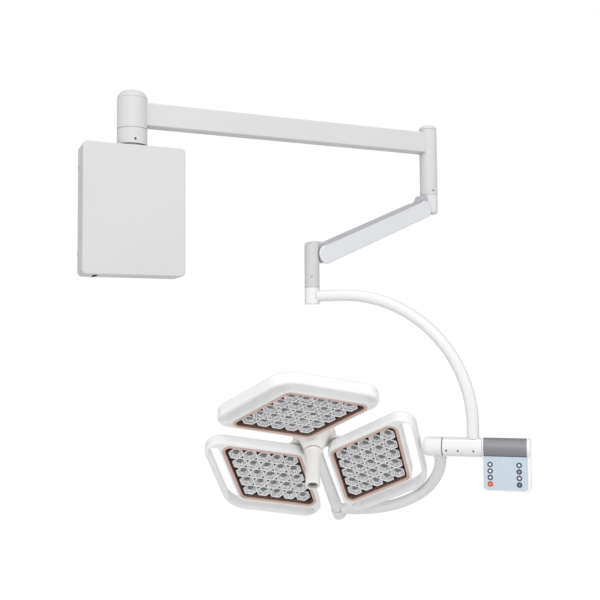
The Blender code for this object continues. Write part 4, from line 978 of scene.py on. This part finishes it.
def build_head():
    body = "lamp_head"
    hub = turned([
        (0, HUB_BACK), (0.028, HUB_BACK), (0.05, HUB_BACK + 0.01), (0.058, -0.03), (0.055, -0.0215),
        (0.041, -0.0185), (0.036, -0.008), (0.0315, 0.004), (0.0268, 0.014), (0.024, 0.0215),
        (0.023, HUB_FRONT), (0, HUB_FRONT),
    ], [0.006, 0.012, 0.006, 0.003, 0.012, 0.03, 0.03, 0.03, 0.02, 0.0015])
    show("hub_skin", hub, "cream_plastic", body, HEAD_FRAME, ["head_hub"])
    for index in range(PANEL_COUNT):
        outline = box_outline(-PANEL_DISTANCE + 0.004, 0.01, -0.022, 0.022, 0.016, 12)
        arm = plate(outline, -PANEL_DEPTH - 0.011, -PANEL_DEPTH - GAP, 0.004, 0.0005)
        show("hub_arm_" + "abc"[index], arm, "cream_plastic", body, panel_frame(index))
    stem = turned([
        (0, HUB_RADIUS - 0.006), (STEM_RADIUS + 0.001, HUB_RADIUS - 0.006), (STEM_RADIUS + 0.001, 0.186),
        (STEM_RADIUS + 0.0018, 0.19), (STEM_RADIUS + 0.0026, STEM_SEAM - 0.001),
        (STEM_RADIUS + 0.0016, STEM_SEAM), (STEM_PIN_RADIUS, STEM_SEAM), (STEM_PIN_RADIUS, STEM_END - 0.01),
        (0, STEM_END - 0.01),
    ], 0.0008)
    show("stem_skin", stem, "white_paint", body, STEM_FRAME, ["head_stem"])
    core = turned([
        (0, HUB_FRONT - 0.004), (0.0085, HUB_FRONT - 0.004), (0.0085, HUB_FRONT + 0.004),
        (HANDLE_BORE - GAP, HUB_FRONT + 0.006), (HANDLE_BORE - GAP, HANDLE_END - 0.01),
        (0, HANDLE_END - 0.01),
    ], 0.0006, 64)
    skin("handle_core", core, "gray_plastic", body, HEAD_FRAME)
    handle = turned([
        (HANDLE_BORE, HUB_FRONT + 0.007), (HANDLE_RADIUS + 0.004, HUB_FRONT + 0.0004),
        (HANDLE_RADIUS + 0.004, HUB_FRONT + 0.0045), (HANDLE_RADIUS + 0.0012, HUB_FRONT + 0.01),
        (HANDLE_RADIUS, HUB_FRONT + 0.02), (HANDLE_RADIUS, HANDLE_END - 0.003),
        (HANDLE_RADIUS - 0.002, HANDLE_END), (HANDLE_BORE, HANDLE_END),
    ], 0.003)
    skin("sterile_handle", handle, "cream_plastic", "handle", HEAD_FRAME)


def lens_places():
    """The lens centres: rows of equal length on a lattice that follows the panel's sides."""
    spread = (LENS_ROWS - 1) / 2
    side_a = Vector((-PANEL_SIDE.y, PANEL_SIDE.x))
    side_b = Vector((PANEL_SIDE.y, PANEL_SIDE.x))
    for i in range(LENS_ROWS):
        for j in range(LENS_ROWS):
            yield ((i - spread) * side_a + (j - spread) * side_b) * LENS_PITCH


def hexagon_loft(rings, wrap=False):
    """A six-sided body through (share of a lens's corner radius, z) pairs."""
    return loft([polygon(LENS_CORNER * share, z) for share, z in rings], wrap)


def lens_mesh():
    """One clear lens: a six-sided body that widens upwards, with a dished face."""
    return hexagon_loft([
        (0.6, LENS_SHEET - 0.0008), (0.9, LENS_TOP - 0.0034), (0.9, LENS_TOP - 0.001),
        (0.6, LENS_TOP - 0.0022), (0.28, LENS_TOP - 0.0012),
    ])


def lens_rim_mesh():
    """The raised edge round one lens, bright white as a painted highlight along the lens's edge."""
    return hexagon_loft([
        (0.9, LENS_TOP - 0.0045), (1.028, LENS_TOP - 0.0034), (1.028, LENS_TOP - 0.0006), (1.005, LENS_TOP),
        (0.915, LENS_TOP), (0.83, LENS_TOP - 0.002),
    ], wrap=True)


def facet_mesh():
    """The silvery star of facets inside one lens: twelve ridges that run down to the light source."""
    bm = bmesh.new()
    rows = []
    for share, depth, lift in ((0.86, 0.0034, 0.0), (0.62, 0.0056, 0.0016), (0.4, 0.0078, 0.0)):
        ring = polygon(LENS_CORNER * share, LENS_TOP - depth, 24)
        rows.append([bm.verts.new((x, y, z + lift * (i % 2))) for i, (x, y, z) in enumerate(ring)])
    for low, high in zip(rows, rows[1:]):
        band(bm, low, high)
    return mesh_of(bm)


def led_mesh():
    """The dark seat of one lens with its domed light source."""
    seat, dome, top = LENS_CORNER * 0.42, LENS_CORNER * 0.2, LENS_TOP - 0.008
    return turned([
        (0, LENS_SHEET), (seat, LENS_SHEET), (seat, top), (dome, top),
        (LENS_CORNER * 0.12, top + 0.0008), (0, top + 0.0012),
    ], 0.0003, 20)


def on_every_lens(make):
    return merged([moved(make(), Matrix.Translation((*place, 0))) for place in lens_places()])


def bezel_outline(offset):
    """The bezel's outline, moved outwards by the offset."""
    return panel_outline(offset, None, *(radius + offset for radius in BEZEL_RADII))


BEZEL_SCREW_Y = 0.0045
BACK_SCREWS = ((0.066, 0.0), (0.012, 0.112), (0.012, -0.112), (-0.03, 0.06), (-0.03, -0.06))
BEZEL_SCREW_X = max(x for x, y in bezel_outline(-BEZEL_WIDTH / 2)) - 0.0006


def build_panels():
    body = "lamp_head"
    shell = plate(panel_outline(LOOP_OUTER, HOUSING_RIM, *SHELL_RADII, 20), -PANEL_DEPTH, 0, 0.008, 0.006, 7)
    outside, inside = rhombus(LOOP_INNER, SLOT_END), rhombus(SLOT_RIM, SLOT_END)
    corners = [outside[0], outside[1], inside[1], inside[0], inside[3], outside[3]]
    slot = plate(rounded(corners, [0.07, 0.014, 0.003, 0.024, 0.003, 0.014], 12), -0.1, 0.1)
    shell = bevelled(cut(shell, slot), 0.003, 4)
    wire_hole = moved(bar(0.006, -0.1, 0.0, 0.0, 32), Matrix.Translation((-0.07, 0, 0)))
    pocket = plate(bezel_outline(-BEZEL_WIDTH + 0.001), -POCKET_DEPTH, 0.01)
    back_groove = frame_plate(
        bezel_outline(-0.004), bezel_outline(-0.0062), -PANEL_DEPTH - 0.01, -PANEL_DEPTH + 0.0012, 0.0
    )
    shell = cut(shell, pocket, plate(bezel_outline(0), -BEZEL_SEAT, 0.01), wire_hole, back_groove)

    seat = -BEZEL_SEAT + GAP
    rim = bezel_outline(-BEZEL_WIDTH)
    bezel = frame_plate(bezel_outline(-GAP), rim, seat, 0.0008, 0.0008)
    wall = bezel_outline(-BEZEL_WIDTH - 0.0012)
    wall = frame_plate(rim, wall, -POCKET_DEPTH + 0.0045, -0.0012, 0.0003)
    lenses, rims = on_every_lens(lens_mesh), on_every_lens(lens_rim_mesh)
    facets, leds = on_every_lens(facet_mesh), on_every_lens(led_mesh)
    for index in range(PANEL_COUNT):
        here, letter = panel_frame(index), "abc"[index]
        lit = here.to_3x3() @ UP
        show("panel_skin_" + letter, shell.copy(), "white_plastic", body, here, ["panel_shell_" + letter])
        show("bezel_" + letter, bezel.copy(), "copper_trim", body, here, ["panel_bezel_" + letter])
        show("bezel_wall_" + letter, wall.copy(), "led_board_brown", body, here)
        for number, (x, y) in enumerate(BACK_SCREWS):
            at = here @ Vector((x, y, -PANEL_DEPTH))
            socket_screw(f"back_screw_{letter}_{number + 1}", 0.003, at, -lit, body, -0.0006)
        for side, y in (("left", -BEZEL_SCREW_Y), ("right", BEZEL_SCREW_Y)):
            at = here @ Vector((BEZEL_SCREW_X, y, 0.0008))
            socket_screw(f"bezel_screw_{letter}_{side}", 0.0014, at, lit, body, -0.0004, "dark_plastic")
        show("lenses_" + letter, lenses.copy(), "clear_lens", body, here, ["lens_array_" + letter])
        show("lens_rims_" + letter, rims.copy(), "clear_lens", body, here, material=LENS_RIM_HIGHLIGHT)
        show("lens_facets_" + letter, facets.copy(), "clear_lens", body, here, material=FACET_METAL)
        show("lens_seats_" + letter, leds.copy(), "gray_plastic", body, here)


# ---- CAD nodes that stay ----


def finish_cad_nodes():
    """Gives every CAD node that still shows the material of its slot in the record."""
    slots = {entry["node"]: entry["material_slot"] for entry in frame["record"]["subparts"]}
    for name, obj in frame["nodes"].items():
        if not obj.hide_render:
            finish(obj.data, MATERIALS[slots[name]])


# ---- stage ----

FLOOR_DROP, FLOOR_RADIUS = 1.35, 3.0
AMBIENT_BELOW, AMBIENT_ABOVE, FLAG_SHADE = 1.02, 0.88, 0.32
BACKDROP_SHADE = 0.62
LIGHTS_AIM = Vector((0.45, -0.1, -0.2))
CAMERA_AT = Vector((-0.472, -2.236, -0.361))
CAMERA_YAW, CAMERA_PITCH, CAMERA_ROLL = 0.403, 0.06, 0.008
FOCAL_PIXELS, FRAME_PIXELS, SENSOR_MM = 871.3, 600, 36.0


def build_camera():
    yaw, pitch = CAMERA_YAW, CAMERA_PITCH
    ahead = Vector((math.sin(yaw) * math.cos(pitch), math.cos(yaw) * math.cos(pitch), math.sin(pitch)))
    right = Matrix.Rotation(CAMERA_ROLL, 3, ahead) @ ahead.cross(UP).normalized()
    data = bpy.data.cameras.new("camera")
    data.sensor_width = SENSOR_MM
    data.lens = FOCAL_PIXELS / FRAME_PIXELS * SENSOR_MM
    camera = in_scene("camera", data)
    camera.matrix_world = axes_frame(CAMERA_AT, right, -ahead)
    bpy.context.scene.camera = camera


def area_light(name, at, size, power):
    """A disc of light turned towards the object."""
    data = bpy.data.lights.new(name, "AREA")
    data.shape = "DISK"
    data.size = size
    data.energy = power
    in_scene(name, data).matrix_world = pointing(at, Vector(at) - LIGHTS_AIM)


def build_world():
    """A plain studio. It is light above and below, dim ahead of the camera at the sides of the view and white
    straight behind the object. The camera itself sees a soft grey that brightens to white instead."""
    world = bpy.data.worlds.new("studio")
    world.use_nodes = True
    tree = world.node_tree
    link = tree.links.new
    direction = new_node(tree, "TexCoord").outputs["Generated"]

    def along(vector, start, end, first, last):
        """A brightness that goes from first to last as the direction's share along the vector goes up."""
        dot = new_node(tree, "VectorMath")
        dot.operation = "DOT_PRODUCT"
        dot.inputs[1].default_value = vector
        link(direction, dot.inputs[0])
        spread = new_node(tree, "MapRange", From_Min=start, From_Max=end, To_Min=first, To_Max=last)
        spread.interpolation_type = "SMOOTHSTEP"
        link(dot.outputs["Value"], spread.inputs["Value"])
        return spread.outputs["Result"]

    ahead = (math.sin(CAMERA_YAW), math.cos(CAMERA_YAW), 0)
    flags = new_node(tree, "Math")
    flags.operation = "MULTIPLY"
    link(along(UP, -0.9, 0.9, AMBIENT_BELOW, AMBIENT_ABOVE), flags.inputs[0])
    link(along(ahead, -0.15, 0.45, 1.0, FLAG_SHADE), flags.inputs[1])
    room = new_node(tree, "Mix", B=1.0)
    link(along(ahead, 0.82, 0.895, 0.0, 1.0), room.inputs["Factor"])
    link(flags.outputs["Value"], room.inputs["A"])
    seen = new_node(tree, "Mix")
    link(new_node(tree, "LightPath").outputs["Is Camera Ray"], seen.inputs["Factor"])
    link(room.outputs["Result"], seen.inputs["A"])
    link(along(ahead, 0.1, 0.87, BACKDROP_SHADE, 1.0), seen.inputs["B"])
    link(seen.outputs["Result"], tree.nodes["Background"].inputs["Color"])
    bpy.context.scene.world = world


def build_stage():
    top = CAD_BOX[0][2] - FLOOR_DROP
    disc = loft([polygon(FLOOR_RADIUS, z, LIMB_SEGMENTS) for z in (top - 0.02, top)])
    floor = in_scene("floor", moved(disc, Matrix.Translation((0.4, -0.3, 0))))
    nodes = Nodes("floor_pale")
    nodes.tone(nodes.noise(2.0), (0.8, 0.8, 0.81), (0.84, 0.84, 0.85))
    nodes.set(Roughness=0.8)
    floor.data.materials.append(nodes.material)
    build_world()
    bpy.context.scene.view_settings.view_transform = "Standard"
    area_light("key", (-0.9, -3.0, 1.5), 1.5, 26)
    area_light("top", (0.6, -0.6, 2.2), 1.4, 7)


build_camera()
build_stage()
build_wall_unit()
build_main_arm()
build_knuckle()
build_spring_arm()
build_elbow()
build_c_arm()
build_control_unit()
build_yoke()
build_head()
build_panels()
finish_cad_nodes()
